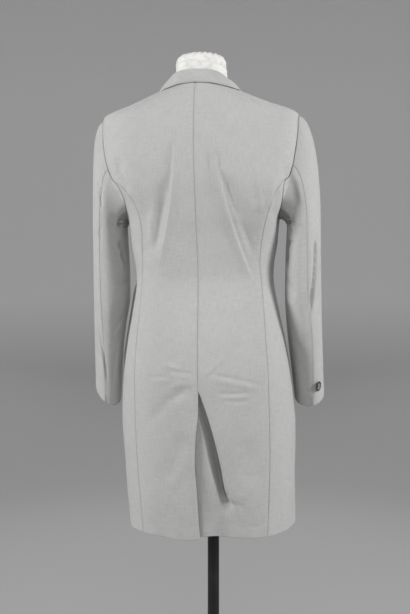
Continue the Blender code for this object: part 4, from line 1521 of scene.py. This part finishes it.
        self.finish(room, "collar", coarse, 190, 44, outward)

    def build(self, room: Workroom) -> None:
        """Makes the lapels and the collar."""
        for side, word in ((1, "left"), (-1, "right")):
            self.lapel(room, side, word)
        self.collar(room)


REVERS = Revers()


@dataclass
class Sleeves:
    """Two-piece sleeves: an upper sleeve over the shoulder and an under sleeve, with a slit at the cuff.

    Attributes:
        hang: How far the sleeves hang towards the wearer's left, with its growth upwards.
        turn: How far each lower sleeve is turned.
        slim: The lower sleeve's share of its full width.
        out: How far the lower sleeve hangs out.
        levels: Heights of the hanging rings.
        slit: Length of the slit at the cuff.
        cuff_tilt: How steeply each cuff climbs towards the outer side.
    """

    hang: tuple[float, float] = (0.0150, 0.007)
    turn: dict[int, float] = field(default_factory=lambda: {1: -0.14, -1: 0.16})
    slim: dict[int, float] = field(default_factory=lambda: {1: 0.92, -1: 1.0})
    out: dict[int, float] = field(default_factory=lambda: {1: 0.004, -1: 0.0})
    levels: tuple[float, ...] = (1.130, 1.075, 1.025, 0.975, 0.925, 0.875, 0.825, 0.773)
    slit: float = 0.024
    cuff_tilt: dict[int, float] = field(default_factory=lambda: {1: 0.56, -1: 0.26})
    rings: Table = field(default_factory=lambda: Table(SLEEVE))

    def armhole_places(self, columns: np.ndarray) -> tuple[np.ndarray, np.ndarray]:
        """Height and turn of the armhole at these columns, from the shoulder tip down the back."""
        most = PANEL_SEAM_TOP_Z - ARMHOLE_FLOOR_Z
        drop = SHOULDER_TIP_Z - PANEL_SEAM_TOP_Z
        last = 2 * ARM_STEPS + SIDE_CELLS
        share = np.clip((columns - ARM_STEPS) / SIDE_CELLS, 0, 1)
        z_back = SHOULDER_TIP_Z - drop * columns / ARM_STEPS
        z_side = ARMHOLE_FLOOR_Z + most * np.abs(2 * share - 1) ** 2.2
        z_front = SHOULDER_TIP_Z - drop * (last - columns) / ARM_STEPS
        z = np.where(columns < ARM_STEPS, z_back, np.where(columns > ARM_STEPS + SIDE_CELLS, z_front, z_side))
        start, end = WORN.seam_angle(z), WORN.seam_angle(z, True)
        angle = np.where(columns < ARM_STEPS, start, np.where(columns > ARM_STEPS + SIDE_CELLS, end, start + (end - start) * share))
        return z, angle

    def armhole_loop(self, side: int) -> tuple[np.ndarray, np.ndarray]:
        """The armhole's points and the directions away from the panels' edge."""
        z, angle = self.armhole_places(np.arange(2 * ARM_STEPS + SIDE_CELLS, dtype=float))
        points, normals = WORN.point(z, side * angle), WORN.normal(z, side * angle)
        along = np.roll(points, -1, axis=0) - np.roll(points, 1, axis=0)
        edge = side * np.cross(along, normals)
        edge[0] = edge[1] + edge[-1]
        edge /= np.linalg.norm(edge, axis=1, keepdims=True)
        return points, edge

    def ring(self, side: int, z: float, shares: np.ndarray) -> np.ndarray:
        """One ring of the hanging sleeve. Share 0 is the outer side, 0.25 the back, 0.5 the inner side."""
        read = {name: self.rings.at(z, name) for name in self.rings.columns}
        turn = 2 * math.pi * shares
        y = read["half_y"] * np.sin(turn)
        low = ease((1.0 - z) / 0.12)
        slim = 1 - (1 - self.slim[side]) * low
        middle = read["x"] + read["half_x"] * (1 - slim) + self.out[side] * low
        x = middle + read["half_x"] * slim * np.cos(turn) + self.turn[side] * low * y
        hang = self.hang[0] + self.hang[1] * (z - self.levels[-1])
        tilt = self.cuff_tilt[side] * ease((0.90 - z) / 0.127) * read["half_x"] * np.cos(turn)
        return np.stack([side * x + hang, read["y"] + y, z - read["slant"] * y + tilt], axis=1)

    def shares(self, z: float, columns: np.ndarray) -> np.ndarray:
        """Where the sleeve's columns lie round the ring at this height."""
        seam = float(self.rings.at(z, "seam"))
        last = 2 * ARM_STEPS + SIDE_CELLS
        return np.interp(columns, [0, BACK_SEAM_COLUMN, FRONT_SEAM_COLUMN, last], [0, seam, FRONT_SEAM, 1])

    def tube(self, side: int) -> np.ndarray:
        """The sleeve's coarse tube, from the armhole down to the cuff."""
        top = self.levels[0]
        columns = np.arange(2 * ARM_STEPS + SIDE_CELLS, dtype=float)
        loop, edge = self.armhole_loop(side)
        below = self.ring(side, top, self.shares(top, columns))
        height = (loop[:, 2] - loop[:, 2].min()) / np.ptp(loop[:, 2])
        leave = edge * 0.4 + np.array([side, 0.0, 0.0])
        leave /= np.linalg.norm(leave, axis=1, keepdims=True)
        reach = (0.020 + 0.085 * height**1.5)[:, None]
        fall = (0.030 + 0.290 * height)[:, None]
        first = loop + edge * SLEEVE_GAP
        points = [hermite(t, first, leave * reach, below, np.array([0.0, 0.0, -1.0]) * fall) for t in (0, 0.08, 0.2, 0.36, 0.52, 0.68, 0.84)]
        points += [self.ring(side, z, self.shares(z, columns)) for z in self.levels]
        return np.array(points)

    def piece(self, room: Workroom, side: int, first: float, last: float, name: str) -> None:
        """Makes one piece of a sleeve.

        Args:
            room: The workroom.
            side: 1 for the wearer's left and -1 for the right.
            first: The column of its first seam.
            last: The column of its last seam.
            name: The CAD node's name.
        """
        coarse = self.tube(side)
        count = coarse.shape[1]
        rough = np.linspace(first, last, 60)
        length = run_along(smoothed(coarse[8], rough, 0, closed=True)[None], 1)[0]
        even = edge_places(length[-1], round(length[-1] / 0.0022))
        columns = np.interp(even, length, rough)
        rows = np.concatenate([[0, 0.03, 0.08, 0.16, 0.28, 0.42], np.linspace(0.6, len(coarse) - 1.06, 175), len(coarse) - 1 - np.array([0.04, 0.02, 0.008, 0.0])])
        points = smoothed(smoothed(coarse, rows, 0), columns, 1, closed=True)
        z, angle = self.armhole_places(columns % count)
        exact = WORN.point(z, side * angle)
        rough_loop = smoothed(coarse[:1], columns, 1, closed=True)[0]
        _, edge = self.armhole_loop(side)
        away = smoothed(edge, columns, 0, closed=True)
        fix = exact + away * SLEEVE_GAP - rough_loop
        points += fix[None] * (1 - ease(rows / 1.5))[:, None, None]

        def outward(grid: np.ndarray) -> np.ndarray:
            """Away from the sleeve's own middle."""
            middle = coarse.mean(axis=1)
            centres = smoothed(middle, rows, 0)
            away = grid - centres[:, None, :]
            return away / (np.linalg.norm(away, axis=-1, keepdims=True) + 1e-9)

        normals = grid_normals(points, outward)
        across = run_along(points, 1)
        up = run_along(points, 0)
        near = np.minimum(across, across[:, -1:] - across)
        cuff = up[-1:] - up
        heights = smoothed(np.array([0.0] * 7 + list(self.levels)), rows, 0)
        hanging = rows >= 7
        ring_z = np.where(hanging, heights, points[..., 2].mean(axis=1))
        ring_share = np.array([self.shares(z, columns % count) for z in np.clip(ring_z, 0.773, 1.13)])
        ring_share = np.where(ring_share < 0.02, ring_share, ring_share)
        grid_z = points[..., 2] * (1 - hanging[:, None]) + np.repeat(ring_z[:, None], points.shape[1], axis=1) * hanging[:, None]
        girth = 0.33
        relief = np.zeros(points.shape[:2])
        for crease in read_creases(SLEEVE_CREASES, side, girth):
            relief += crease.relief(ring_share * girth, grid_z)
        relief -= seam_roll(near)
        relief -= seam_roll(up, 0.0013, 0.0022)
        relief += 0.0003 * (1 - ease((cuff - 0.022) / 0.002)) - seam_roll(cuff, 0.0008, 0.0014)
        points = points + normals * relief[..., None]
        points = self.open_seams(points, across, cuff, name.startswith("upper"))
        pressed = np.maximum(np.exp(-((near / 0.003) ** 2)), np.exp(-((cuff / 0.004) ** 2)))
        room.cloth(name, points[::-1], lambda grid: outward(grid[::-1])[::-1], pressed[::-1])

    def open_seams(self, points: np.ndarray, across: np.ndarray, cuff: np.ndarray, upper: bool) -> np.ndarray:
        """Draws both seams half a gap apart, and opens the back one into a slit at the cuff.

        Args:
            points: The piece's points.
            across: Their distance from its first seam.
            cuff: Their distance from the cuff.
            upper: Whether it is the upper sleeve, whose last seam is the back one.

        Returns:
            The points with their seams drawn in.
        """
        slit = 0.0018 * ease((self.slit - cuff) / 0.010)
        inward = np.gradient(points, axis=1)
        inward /= np.linalg.norm(inward, axis=2, keepdims=True) + 1e-12
        to_end = across[:, -1:] - across
        at_start = (1 - across / 0.004).clip(0, 1) * (SEAM_GAP / 2 + (0.0 if upper else 1.0) * slit)
        at_end = (1 - to_end / 0.004).clip(0, 1) * (SEAM_GAP / 2 + (1.0 if upper else 0.0) * slit)
        return points + inward * (at_start - at_end)[..., None]

    def build(self, room: Workroom) -> None:
        """Makes both sleeves."""
        count = 2 * ARM_STEPS + SIDE_CELLS
        for side, word in ((1, "left"), (-1, "right")):
            self.piece(room, side, FRONT_SEAM_COLUMN, count + BACK_SEAM_COLUMN, f"upper_sleeve_{word}")
            self.piece(room, side, BACK_SEAM_COLUMN, FRONT_SEAM_COLUMN, f"under_sleeve_{word}")


@dataclass
class DressForm:
    """The padded limbless form with a tight cotton cover and a neck wrapped in cotton tape.

    Attributes:
        bottom: Height of its flat foot.
        plate: How far its flat armhole plates stand from the middle.
        neck_top: Height of the neck.
        neck: Half width and half depth of the neck.
        neck_middle: Where the neck's middle lies along Y.
        neck_edge: Rounding of the neck's top.
        neck_shift: How far the neck's top stands towards the wearer's right.
        sides: Columns round it.
    """

    bottom: float = 0.800
    plate: float = 0.178
    neck_top: float = 1.4935
    neck: tuple[float, float] = (0.0500, 0.0470)
    neck_middle: float = -0.012
    neck_edge: float = 0.014
    neck_shift: float = 0.0045
    sides: int = 120

    def room_inside(self, z: np.ndarray) -> np.ndarray:
        """Clearance between the cloth and the form: close at the shoulders, free below."""
        close = 0.0012 + 0.0030 * ease(1 - np.abs(z - 1.355) / 0.035)
        return close + 0.008 * ease((1.31 - z) / 0.06) + 0.004 * ease((1.0 - z) / 0.2)

    def neck_ring(self, turns: np.ndarray, z, inset, out: float = 0.0) -> np.ndarray:
        """Points of the neck at these turns and heights."""
        x = (self.neck[0] + out - inset) * np.sin(turns) + WORN.lean(z) - self.neck_shift * ease((z - 1.40) / 0.05)
        y = (self.neck[1] + out - inset) * np.cos(turns) + self.neck_middle
        return np.stack([x, y, z + 0 * turns], axis=-1)

    def cover(self, room: Workroom) -> None:
        """Makes the form's body and neck under their cover."""
        turns = np.linspace(0, 2 * math.pi, self.sides + 1)
        rings = []
        heights = np.concatenate([np.linspace(self.bottom, 1.145, 60), np.linspace(1.150, 1.402, 60)])
        for z in heights:
            height = np.full(turns.shape, z)
            inset = 0.0025 + self.room_inside(height)
            seam = 0.0008 * np.exp(-((((turns + 0.35) % 0.7854 - 0.35) / 0.012) ** 2)) * 0
            point = WORN.point(height, turns, False) - WORN.normal(height, turns, False) * (inset - seam)[:, None]
            lean = WORN.lean(height)
            point[:, 0] = lean + np.clip(point[:, 0] - lean, -self.plate, self.plate)
            rings.append(point)
        foot = rings[0].copy()
        foot[:, 2] = self.bottom
        rings[0] = foot
        middle = foot.mean(axis=0)
        rings = [middle + (foot - middle) * share for share in (1e-5, 0.5, 0.97)] + rings
        edge_z = self.neck_top - self.neck_edge
        for z in np.linspace(1.414, edge_z, 14):
            rings.append(self.neck_ring(turns, z, 0.0))
        for degrees in (15, 30, 45, 60, 75, 90):
            turn = math.radians(degrees)
            rings.append(self.neck_ring(turns, edge_z + self.neck_edge * math.sin(turn), self.neck_edge * (1 - math.cos(turn))))
        rings.append(self.neck_ring(turns, self.neck_top, self.neck_edge + 0.02))
        rings.append(self.neck_ring(turns, self.neck_top, self.neck[1] - 1e-5))
        points = np.array(rings)
        shape = room.lay_grid(points, np.zeros(points.shape[:2]), weld=True)
        bmesh.ops.remove_doubles(shape, verts=shape.verts, dist=2e-5)
        bmesh.ops.recalc_face_normals(shape, faces=shape.faces)
        made = room.finish_object("dress_form_cover", shape, room.jersey, sharp=40)
        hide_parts("dress_form")
        log.info("%s: %d rings", made.name, len(rings))

    def wrap(self, room: Workroom, name: str, start: float, turn: float, middle: float, tilt: float, width: float, out: float) -> bpy.types.Object:
        """Makes one length of tape round the neck.

        Args:
            room: The workroom.
            name: The piece's name.
            start: Degrees at which it starts, from the middle of the back.
            turn: Degrees that it runs.
            middle: Height of its middle.
            tilt: How far it climbs on one side.
            width: Its width.
            out: How far its start lies from the neck.

        Returns:
            The piece.
        """
        angle = np.radians(start + np.linspace(0, turn, 150))
        across = np.linspace(-0.5, 0.5, 17)[:, None] * width
        drift = 0.0011 * np.linspace(0, 1, 150)
        z = middle + tilt * np.cos(angle - 0.9) + across
        z = z + 0.0011 * np.sin(angle * 5 + middle * 900) * np.abs(across) / width * 2
        edge_z = self.neck_top - self.neck_edge
        over = np.clip((z - edge_z) / self.neck_edge, 0, 1.45)
        bend = np.minimum(over, 1.45)
        inset = self.neck_edge * (1 - np.cos(bend)) + 0.004 * np.clip(over - 1.2, 0, 1)
        height = np.where(over > 0, edge_z + self.neck_edge * np.sin(bend), z)
        pucker = 0.0010 * np.sin(angle * 23 + across * 260) * ease(over) + 0.00035 * np.sin(angle * 11 + z * 420)
        lift = out + drift + pucker
        points = self.neck_ring(np.broadcast_to(angle, z.shape), height, inset, 0.0)
        spread = points.copy()
        spread[..., 0] -= WORN.lean(height) - self.neck_shift * ease((height - 1.40) / 0.05)
        spread[..., 1] -= self.neck_middle
        spread[..., 2] = np.where(over > 0, np.sin(bend) * 0.05, 0.0)
        spread /= np.linalg.norm(spread, axis=-1, keepdims=True)
        points = points + spread * lift[..., None]
        border = np.minimum(across + width / 2, width / 2 - across) * np.ones_like(z)
        # Painted shade along the tape's edges, carried in the pressed mark.
        pressed = np.exp(-((border / 0.0012) ** 2)) * 0.7
        shape = room.lay_grid(points, pressed)
        shape.normal_update()
        shape.faces.ensure_lookup_table()
        face = shape.faces[len(shape.faces) // 2]
        if face.normal.dot(face.calc_center_median() - Vector((0.025, self.neck_middle, face.calc_center_median().z))) < 0:
            bmesh.ops.reverse_faces(shape, faces=shape.faces)
        made = room.finish_object(name, shape, room.tape, sharp=75)
        wall = made.modifiers.new("wall", "SOLIDIFY")
        wall.thickness = 0.0005
        wall.offset = 1
        return made

    def build(self, room: Workroom) -> None:
        """Makes the form and its wraps."""
        self.cover(room)
        self.wrap(room, "neck_tape_1", 150, 380, 1.444, 0.003, 0.042, 0.0003)
        self.wrap(room, "neck_tape_2", -60, 385, 1.470, -0.004, 0.040, 0.0014)
        self.wrap(room, "neck_tape_3", 80, 380, 1.484, 0.004, 0.030, 0.0026)
        self.wrap(room, "neck_tape_4", 10, 372, 1.459, 0.0065, 0.026, 0.0038)
        log.info("neck tapes made")


# A button's outline from the middle of its back to that of its face, in shares of radius and thickness
BUTTON_OUTLINE = (
    (0, 0), (0.70, 0), (0.90, 0.22), (0.985, 0.45), (1.0, 0.62), (0.985, 0.82), (0.94, 0.96),
    (0.88, 1.0), (0.81, 0.95), (0.74, 0.80), (0.66, 0.66), (0.55, 0.60), (0.3, 0.57), (0, 0.56),
)


def spin_outline(outline: list, steps: int, closed: bool = False, weld: float = 1e-6) -> bmesh.types.BMesh:
    """Turns an outline about the upright axis.

    Args:
        outline: Distances from the axis and heights.
        steps: Steps of the full turn.
        closed: Whether the outline closes on itself.
        weld: Points nearer than this become one.

    Returns:
        The turned shape.
    """
    shape = bmesh.new()
    verts = [shape.verts.new((r, 0, h)) for r, h in outline]
    pairs = list(zip(verts, verts[1:])) + ([(verts[-1], verts[0])] if closed else [])
    edges = [shape.edges.new(pair) for pair in pairs]
    turn = {"cent": (0, 0, 0), "axis": (0, 0, 1), "angle": 2 * math.pi}
    bmesh.ops.spin(shape, geom=verts + edges, steps=steps, use_merge=True, **turn)
    bmesh.ops.remove_doubles(shape, verts=shape.verts, dist=weld)
    bmesh.ops.recalc_face_normals(shape, faces=shape.faces)
    return shape


@dataclass
class ButtonSet:
    """Turned horn buttons sewn on through four holes.

    Attributes:
        heights: Heights of the front buttons.
        front_radius: Radius of a front button.
        cuff_radius: Radius of the cuff button.
        thickness: Thickness of a button.
        hole: Radius of a hole.
        spread: Distance of a hole from the middle, as a share of the radius.
        strand: Radius of a strand of the thread.
        pitch: Distance from strand to strand.
    """

    heights: tuple[float, ...] = (1.075, 0.975, 0.875)
    front_radius: float = 0.0125
    cuff_radius: float = 0.0100
    thickness: float = 0.0035
    hole: float = 0.0010
    spread: float = 0.22
    strand: float = 0.00028
    pitch: float = 0.00038

    def button(self, room: Workroom, node: str, place: np.ndarray, facing: np.ndarray, radius: float) -> None:
        """Makes one button and its thread.

        Args:
            room: The workroom.
            node: The CAD node that it replaces.
            place: The middle of its back.
            facing: The direction that its face looks in.
            radius: Its radius.
        """
        high = self.thickness
        shape = spin_outline([(r * radius, h * high) for r, h in BUTTON_OUTLINE], 64)
        blank = bpy.data.meshes.new("blank")
        shape.to_mesh(blank)
        shape.free()
        drills = bmesh.new()
        step = self.spread * radius / math.sqrt(2)
        holes = [(x * step, y * step) for x in (-1, 1) for y in (-1, 1)]
        for x, y in holes:
            drill = {"radius1": self.hole, "radius2": self.hole, "depth": 3 * high}
            move = Matrix.Translation((x, y, high / 2))
            bmesh.ops.create_cone(drills, cap_ends=True, segments=16, matrix=move, **drill)
        drill_mesh = bpy.data.meshes.new("drills")
        drills.to_mesh(drill_mesh)
        drills.free()
        body, cutter = bpy.data.objects.new("blank", blank), bpy.data.objects.new("drills", drill_mesh)
        for item in (body, cutter):
            bpy.context.scene.collection.objects.link(item)
        bore = body.modifiers.new("bore", "BOOLEAN")
        bore.operation = "DIFFERENCE"
        bore.object = cutter
        bore.solver = "EXACT"
        ready = bpy.data.meshes.new_from_object(body.evaluated_get(bpy.context.evaluated_depsgraph_get()))
        for item in (body, cutter):
            bpy.data.objects.remove(item)
        shape = bmesh.new()
        shape.from_mesh(ready)
        middle = shape.verts.layers.float.new("middle")
        for vert in shape.verts:
            from_axis = math.hypot(vert.co.x, vert.co.y) / radius
            # The middle mark picks the dished face, where the lighter streaks paint horn grain and a highlight.
            vert[middle] = float(1 - ease((from_axis - 0.62) / 0.16)) * (vert.co.z > 0.4 * high)
        up = Vector((0, 0, 1))
        turn = up.rotation_difference(Vector(facing)).to_matrix().to_4x4()
        move = Matrix.Translation(Vector(place)) @ turn
        bmesh.ops.transform(shape, matrix=move, verts=shape.verts)
        made = room.finish_object(f"horn_{node}", shape, room.horn, sharp=38)
        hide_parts(node)
        self.stitches(room, f"thread_{node}", move, step, high)
        log.info("%s: radius %.1f mm", made.name, radius * 1000)

    def stitches(self, room: Workroom, name: str, move: Matrix, step: float, high: float) -> None:
        """Makes the thread that crosses a button between its holes: two bars of three strands.

        Args:
            room: The workroom.
            name: The piece's name.
            move: Takes the button from its own axes to its place.
            step: Distance of a hole from the middle, along and across.
            high: The button's thickness.
        """
        arch = {"cent": (0, 0, 0), "axis": (0, -1, 0), "angle": math.pi, "steps": 12}
        shape = bmesh.new()
        for y in (-1, 1):
            for k in (-1, 0, 1):
                start = bmesh.ops.create_circle(shape, segments=8, radius=self.strand)["verts"]
                bmesh.ops.translate(shape, verts=start, vec=(step, y * step + k * self.pitch, 0))
                edges = list({edge for vert in start for edge in vert.link_edges})
                bmesh.ops.spin(shape, geom=start + edges, **arch)
        bmesh.ops.scale(shape, vec=(1, 1, 0.45), verts=shape.verts)
        bmesh.ops.translate(shape, verts=shape.verts, vec=(0, 0, high * 0.52))
        ends = [edge for edge in shape.edges if edge.is_boundary]
        bmesh.ops.holes_fill(shape, edges=ends, sides=0)
        bmesh.ops.recalc_face_normals(shape, faces=shape.faces)
        bmesh.ops.transform(shape, matrix=move, verts=shape.verts)
        room.finish_object(name, shape, room.thread)

    def buttonhole(self, room: Workroom, name: str, z: float) -> None:
        """Makes the corded lips of one buttonhole, which runs from the button towards the front's edge.

        Args:
            room: The workroom.
            name: The piece's name.
            z: Height of the buttonhole.
        """
        length, half, start = 0.027, 0.0014, -0.003
        bend = np.linspace(0, 2 * math.pi, 25)[:13]
        straight = np.linspace(0, 1, 40)[:-1]
        flat = np.full(len(straight), half)
        out_x, out_y = half * np.sin(bend), half * np.cos(bend)
        x = np.concatenate([length * straight, length + out_x, length * (1 - straight), -out_x])
        y = np.concatenate([flat, out_y, -flat, -out_y])
        section = np.linspace(0, 2 * math.pi, 9)
        ridge = 0.00075 + 0.00012 * np.sin(np.arange(len(x)) * 2.2)
        along_z = z + y[:, None] + ridge[:, None] * np.cos(section)[None, :]
        along_x = np.repeat(start + x[:, None], len(section), axis=1)
        out = ridge[:, None] * np.sin(section)[None, :] * 0.5
        points = front_skin(-1, along_x, along_z, out)
        points = np.concatenate([points, points[:1]])
        shape = room.lay_grid(points, np.zeros(points.shape[:2]), weld=True)
        bmesh.ops.recalc_face_normals(shape, faces=shape.faces)
        room.finish_object(name, shape, room.thread)

    def build(self, room: Workroom, sleeves: Sleeves) -> None:
        """Sews on the three front buttons and the one on the wearer's right cuff.

        Args:
            room: The workroom.
            sleeves: The sleeves that the cuff button lies on.
        """
        for number, z in enumerate(self.heights, start=1):
            normal = WORN.normal(z, math.pi)
            lift = float(front_lift(-1, np.array(z), np.array(math.pi))) + 0.0012
            place = WORN.point(z, math.pi) + normal * lift
            self.button(room, f"front_button_{number}", place, normal, self.front_radius)
            self.buttonhole(room, f"buttonhole_{number}", z)
        low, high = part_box("cuff_button_right")
        shares = np.array([0.175, 0.195])
        start, end = sleeves.ring(-1, 0.808, shares)
        above = sleeves.ring(-1, 0.818, shares)[0]
        normal = np.cross(end - start, above - start)
        normal /= np.linalg.norm(normal)
        normal = -normal if normal[0] > 0 else normal
        place = (start + end) / 2 + normal * 0.0016
        normal = np.array(Matrix.Rotation(math.radians(26), 3, "Z") @ Vector(normal))
        self.button(room, "cuff_button_right", place, normal, self.cuff_radius)
        corners = [tuple(round(v, 3) for v in corner) for corner in (low, high)]
        log.info("cuff button lies in %s to %s", *corners)


@dataclass
class Stand:
    """The black pole with its socket and round base plate.

    Attributes:
        base_radius: Radius of the plate.
        base_height: Thickness of the plate.
        edge: Rounding of its rims.
        socket_radius: Radius of the socket.
        socket_top: Height of its top above the plate.
        pole_radius: Radius of the pole.
        gap: Gap between the plate, the socket and the pole.
        steps: Steps of a full turn.
    """

    base_radius: float = 0.170
    base_height: float = 0.012
    edge: float = 0.004
    socket_radius: float = 0.021
    socket_top: float = 0.0553
    pole_radius: float = 0.0122
    gap: float = 0.0003
    steps: int = 128

    def turned(self, room: Workroom, name: str, outline: list, node: str, closed: bool = False) -> None:
        """Turns an outline about the pole's axis.

        Args:
            room: The workroom.
            name: The piece's name.
            outline: Distances from the axis and heights.
            node: The CAD node that it replaces.
            closed: Whether the outline closes on itself.
        """
        shape = spin_outline(outline, self.steps, closed)
        made = room.finish_object(name, shape, room.paint, sharp=32)
        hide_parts(node)
        log.info("%s: %d outline points", name, len(outline))

    def rounded(self, radius: float, low: float, high: float) -> list[tuple[float, float]]:
        """The outer side of a disc with rounded rims.

        Args:
            radius: The disc's radius.
            low: Height of its underside.
            high: Height of its upper side.

        Returns:
            Distances from the axis and heights, from below.
        """
        points = []
        for rim, way, turns in ((low, 1, (-90, -60, -30, 0)), (high, -1, (0, 30, 60, 90))):
            for turn in map(math.radians, turns):
                lift = self.edge * (1 + way * math.sin(turn))
                points.append((radius - self.edge * (1 - math.cos(turn)), rim + way * lift))
        return points

    def build(self, room: Workroom) -> None:
        """Makes the plate, the socket and the pole."""
        top = self.base_height
        plate = [(0, 0), *self.rounded(self.base_radius, 0, top), (self.socket_radius + 0.012, top), (0, top)]
        self.turned(room, "painted_base_plate", plate, "base_plate")
        low, high = top + self.gap, top + self.socket_top
        clear = self.pole_radius + self.gap
        socket = [(clear, low), *self.rounded(self.socket_radius, low, high)[1:], (clear, high)]
        self.turned(room, "painted_pole_socket", socket, "pole_socket", closed=True)
        pole_low, pole_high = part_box("pole")
        wide = self.pole_radius
        pole = [(0, pole_low.z), (wide, pole_low.z), (wide, pole_high.z), (0, pole_high.z)]
        self.turned(room, "painted_pole", pole, "pole")


# The soft boxes: degrees round from the camera, degrees up, distance, width, height and watts
SOFT_BOXES = """
name            turn up distance wide high watts
box_left        -66  18 3        0.7  1    64
box_right       66   18 3        0.7  1    66
box_over_camera 0    24 3        1.6  1.2  20
fill_front      -180 30 3.2      2.4  1.6  60
"""


@dataclass
class Studio:
    """A floor that sweeps up into a wall all round, three soft boxes on the camera's side and a fill in front.

    Attributes:
        azimuth: The camera's direction, in degrees round from the coat's front.
        distance: The camera's distance from the pole.
        height: The camera's height.
        slide: How far the camera stands to the right of the pole's line.
        lens: Focal length in millimetres.
        floor: Colour of the floor.
        wall: Colour of the wall, which is paler because less light falls on it.
        bend: Where the floor starts to rise, and the radius of its rise.
        wall_rows: Heights of the wall's upper rows.
        aim: The height that the soft boxes look at.
        haze: Strength of the light from all round.
    """

    azimuth: float = 188.0
    distance: float = 1.82
    height: float = 0.959
    slide: float = -0.018
    lens: float = 50.0
    floor: str = "#9e9e9e"
    wall: str = "#dedede"
    bend: float = 2.6
    wall_rows: tuple[float, float] = (3.4, 4.4)
    aim: float = 1.1
    haze: float = 0.10

    def direction(self, azimuth: float, elevation: float) -> Vector:
        """The direction from the middle of the scene to a camera or light."""
        a, e = math.radians(azimuth), math.radians(elevation)
        return Vector((math.sin(a) * math.cos(e), -math.cos(a) * math.cos(e), math.sin(e)))

    def camera(self) -> None:
        """Sets up the level camera behind the coat."""
        data = bpy.data.cameras.new("camera")
        data.lens = self.lens
        data.sensor_width = 36.0
        made = bpy.data.objects.new("camera", data)
        bpy.context.scene.collection.objects.link(made)
        towards = self.direction(self.azimuth, 0)
        a = math.radians(self.azimuth)
        right = Vector((math.cos(a), math.sin(a), 0))
        made.location = Vector((0, 0, self.height)) + towards * self.distance + right * self.slide
        made.rotation_euler = (-towards).to_track_quat("-Z", "Y").to_euler()
        bpy.context.scene.camera = made

    def soft_box(
        self, name: str, azimuth: float, up: float, distance: float, wide: float, high: float, watts: float
    ) -> None:
        """Hangs a soft box that looks at the coat.

        Args:
            name: Its name.
            azimuth: Its direction round the coat.
            up: Its angle above the coat's middle.
            distance: Its distance.
            wide: Its width.
            high: Its height.
            watts: Its power.
        """
        data = bpy.data.lights.new(name, "AREA")
        data.shape = "RECTANGLE"
        data.size, data.size_y = wide, high
        data.energy = watts
        made = bpy.data.objects.new(name, data)
        made.visible_camera = False
        bpy.context.scene.collection.objects.link(made)
        towards = self.direction(azimuth, up)
        made.location = Vector((0, 0, self.aim)) + towards * distance
        made.rotation_euler = (-towards).to_track_quat("-Z", "Y").to_euler()

    def sweep(self) -> None:
        """Makes the floor and wall as one turned sheet."""
        outline = [(0.0, 0.0), (1.2, 0.0), (self.bend, 0.0)]
        for turn in map(math.radians, range(6, 91, 6)):
            outline.append((self.bend + self.bend * math.sin(turn), self.bend * (1 - math.cos(turn))))
        outline += [(2 * self.bend, z) for z in self.wall_rows]
        shape = spin_outline(outline, 96, weld=1e-5)
        mesh = bpy.data.meshes.new("floor")
        shape.to_mesh(mesh)
        shape.free()
        mesh.shade_smooth()
        look = Look("matte_painted_floor")
        height = look.node("ShaderNodeSeparateXYZ", {0: look.place()}, out="Z")
        colour = look.blend(look.spread(height), self.floor, self.wall)
        mesh.materials.append(look.finish({"Base Color": colour, "Roughness": 0.9, "Specular IOR Level": 0.2}))
        made = bpy.data.objects.new("floor", mesh)
        bpy.context.scene.collection.objects.link(made)

    def build(self) -> None:
        """Sets up the camera, the floor and the light."""
        self.camera()
        self.sweep()
        for name, *row in read_rows(SOFT_BOXES)[1]:
            turn, *numbers = map(float, row)
            self.soft_box(name, self.azimuth + turn, *numbers)
        world = bpy.data.worlds.new("studio")
        world.use_nodes = True
        set_inputs(world.node_tree, world.node_tree.nodes["Background"], {0: (1, 1, 1, 1), 1: self.haze})
        scene = bpy.context.scene
        scene.world = world
        scene.view_settings.view_transform = "Standard"


def main() -> None:
    """Builds the coat, the form, the stand and the studio in order."""
    logging.basicConfig(level=logging.INFO, format="%(message)s")
    room = Workroom()
    CoatBody().build(room)
    REVERS.build(room)
    sleeves = Sleeves()
    sleeves.build(room)
    DressForm().build(room)
    ButtonSet().build(room, sleeves)
    Stand().build(room)
    Studio().build()


if __name__ == "__main__":
    main()
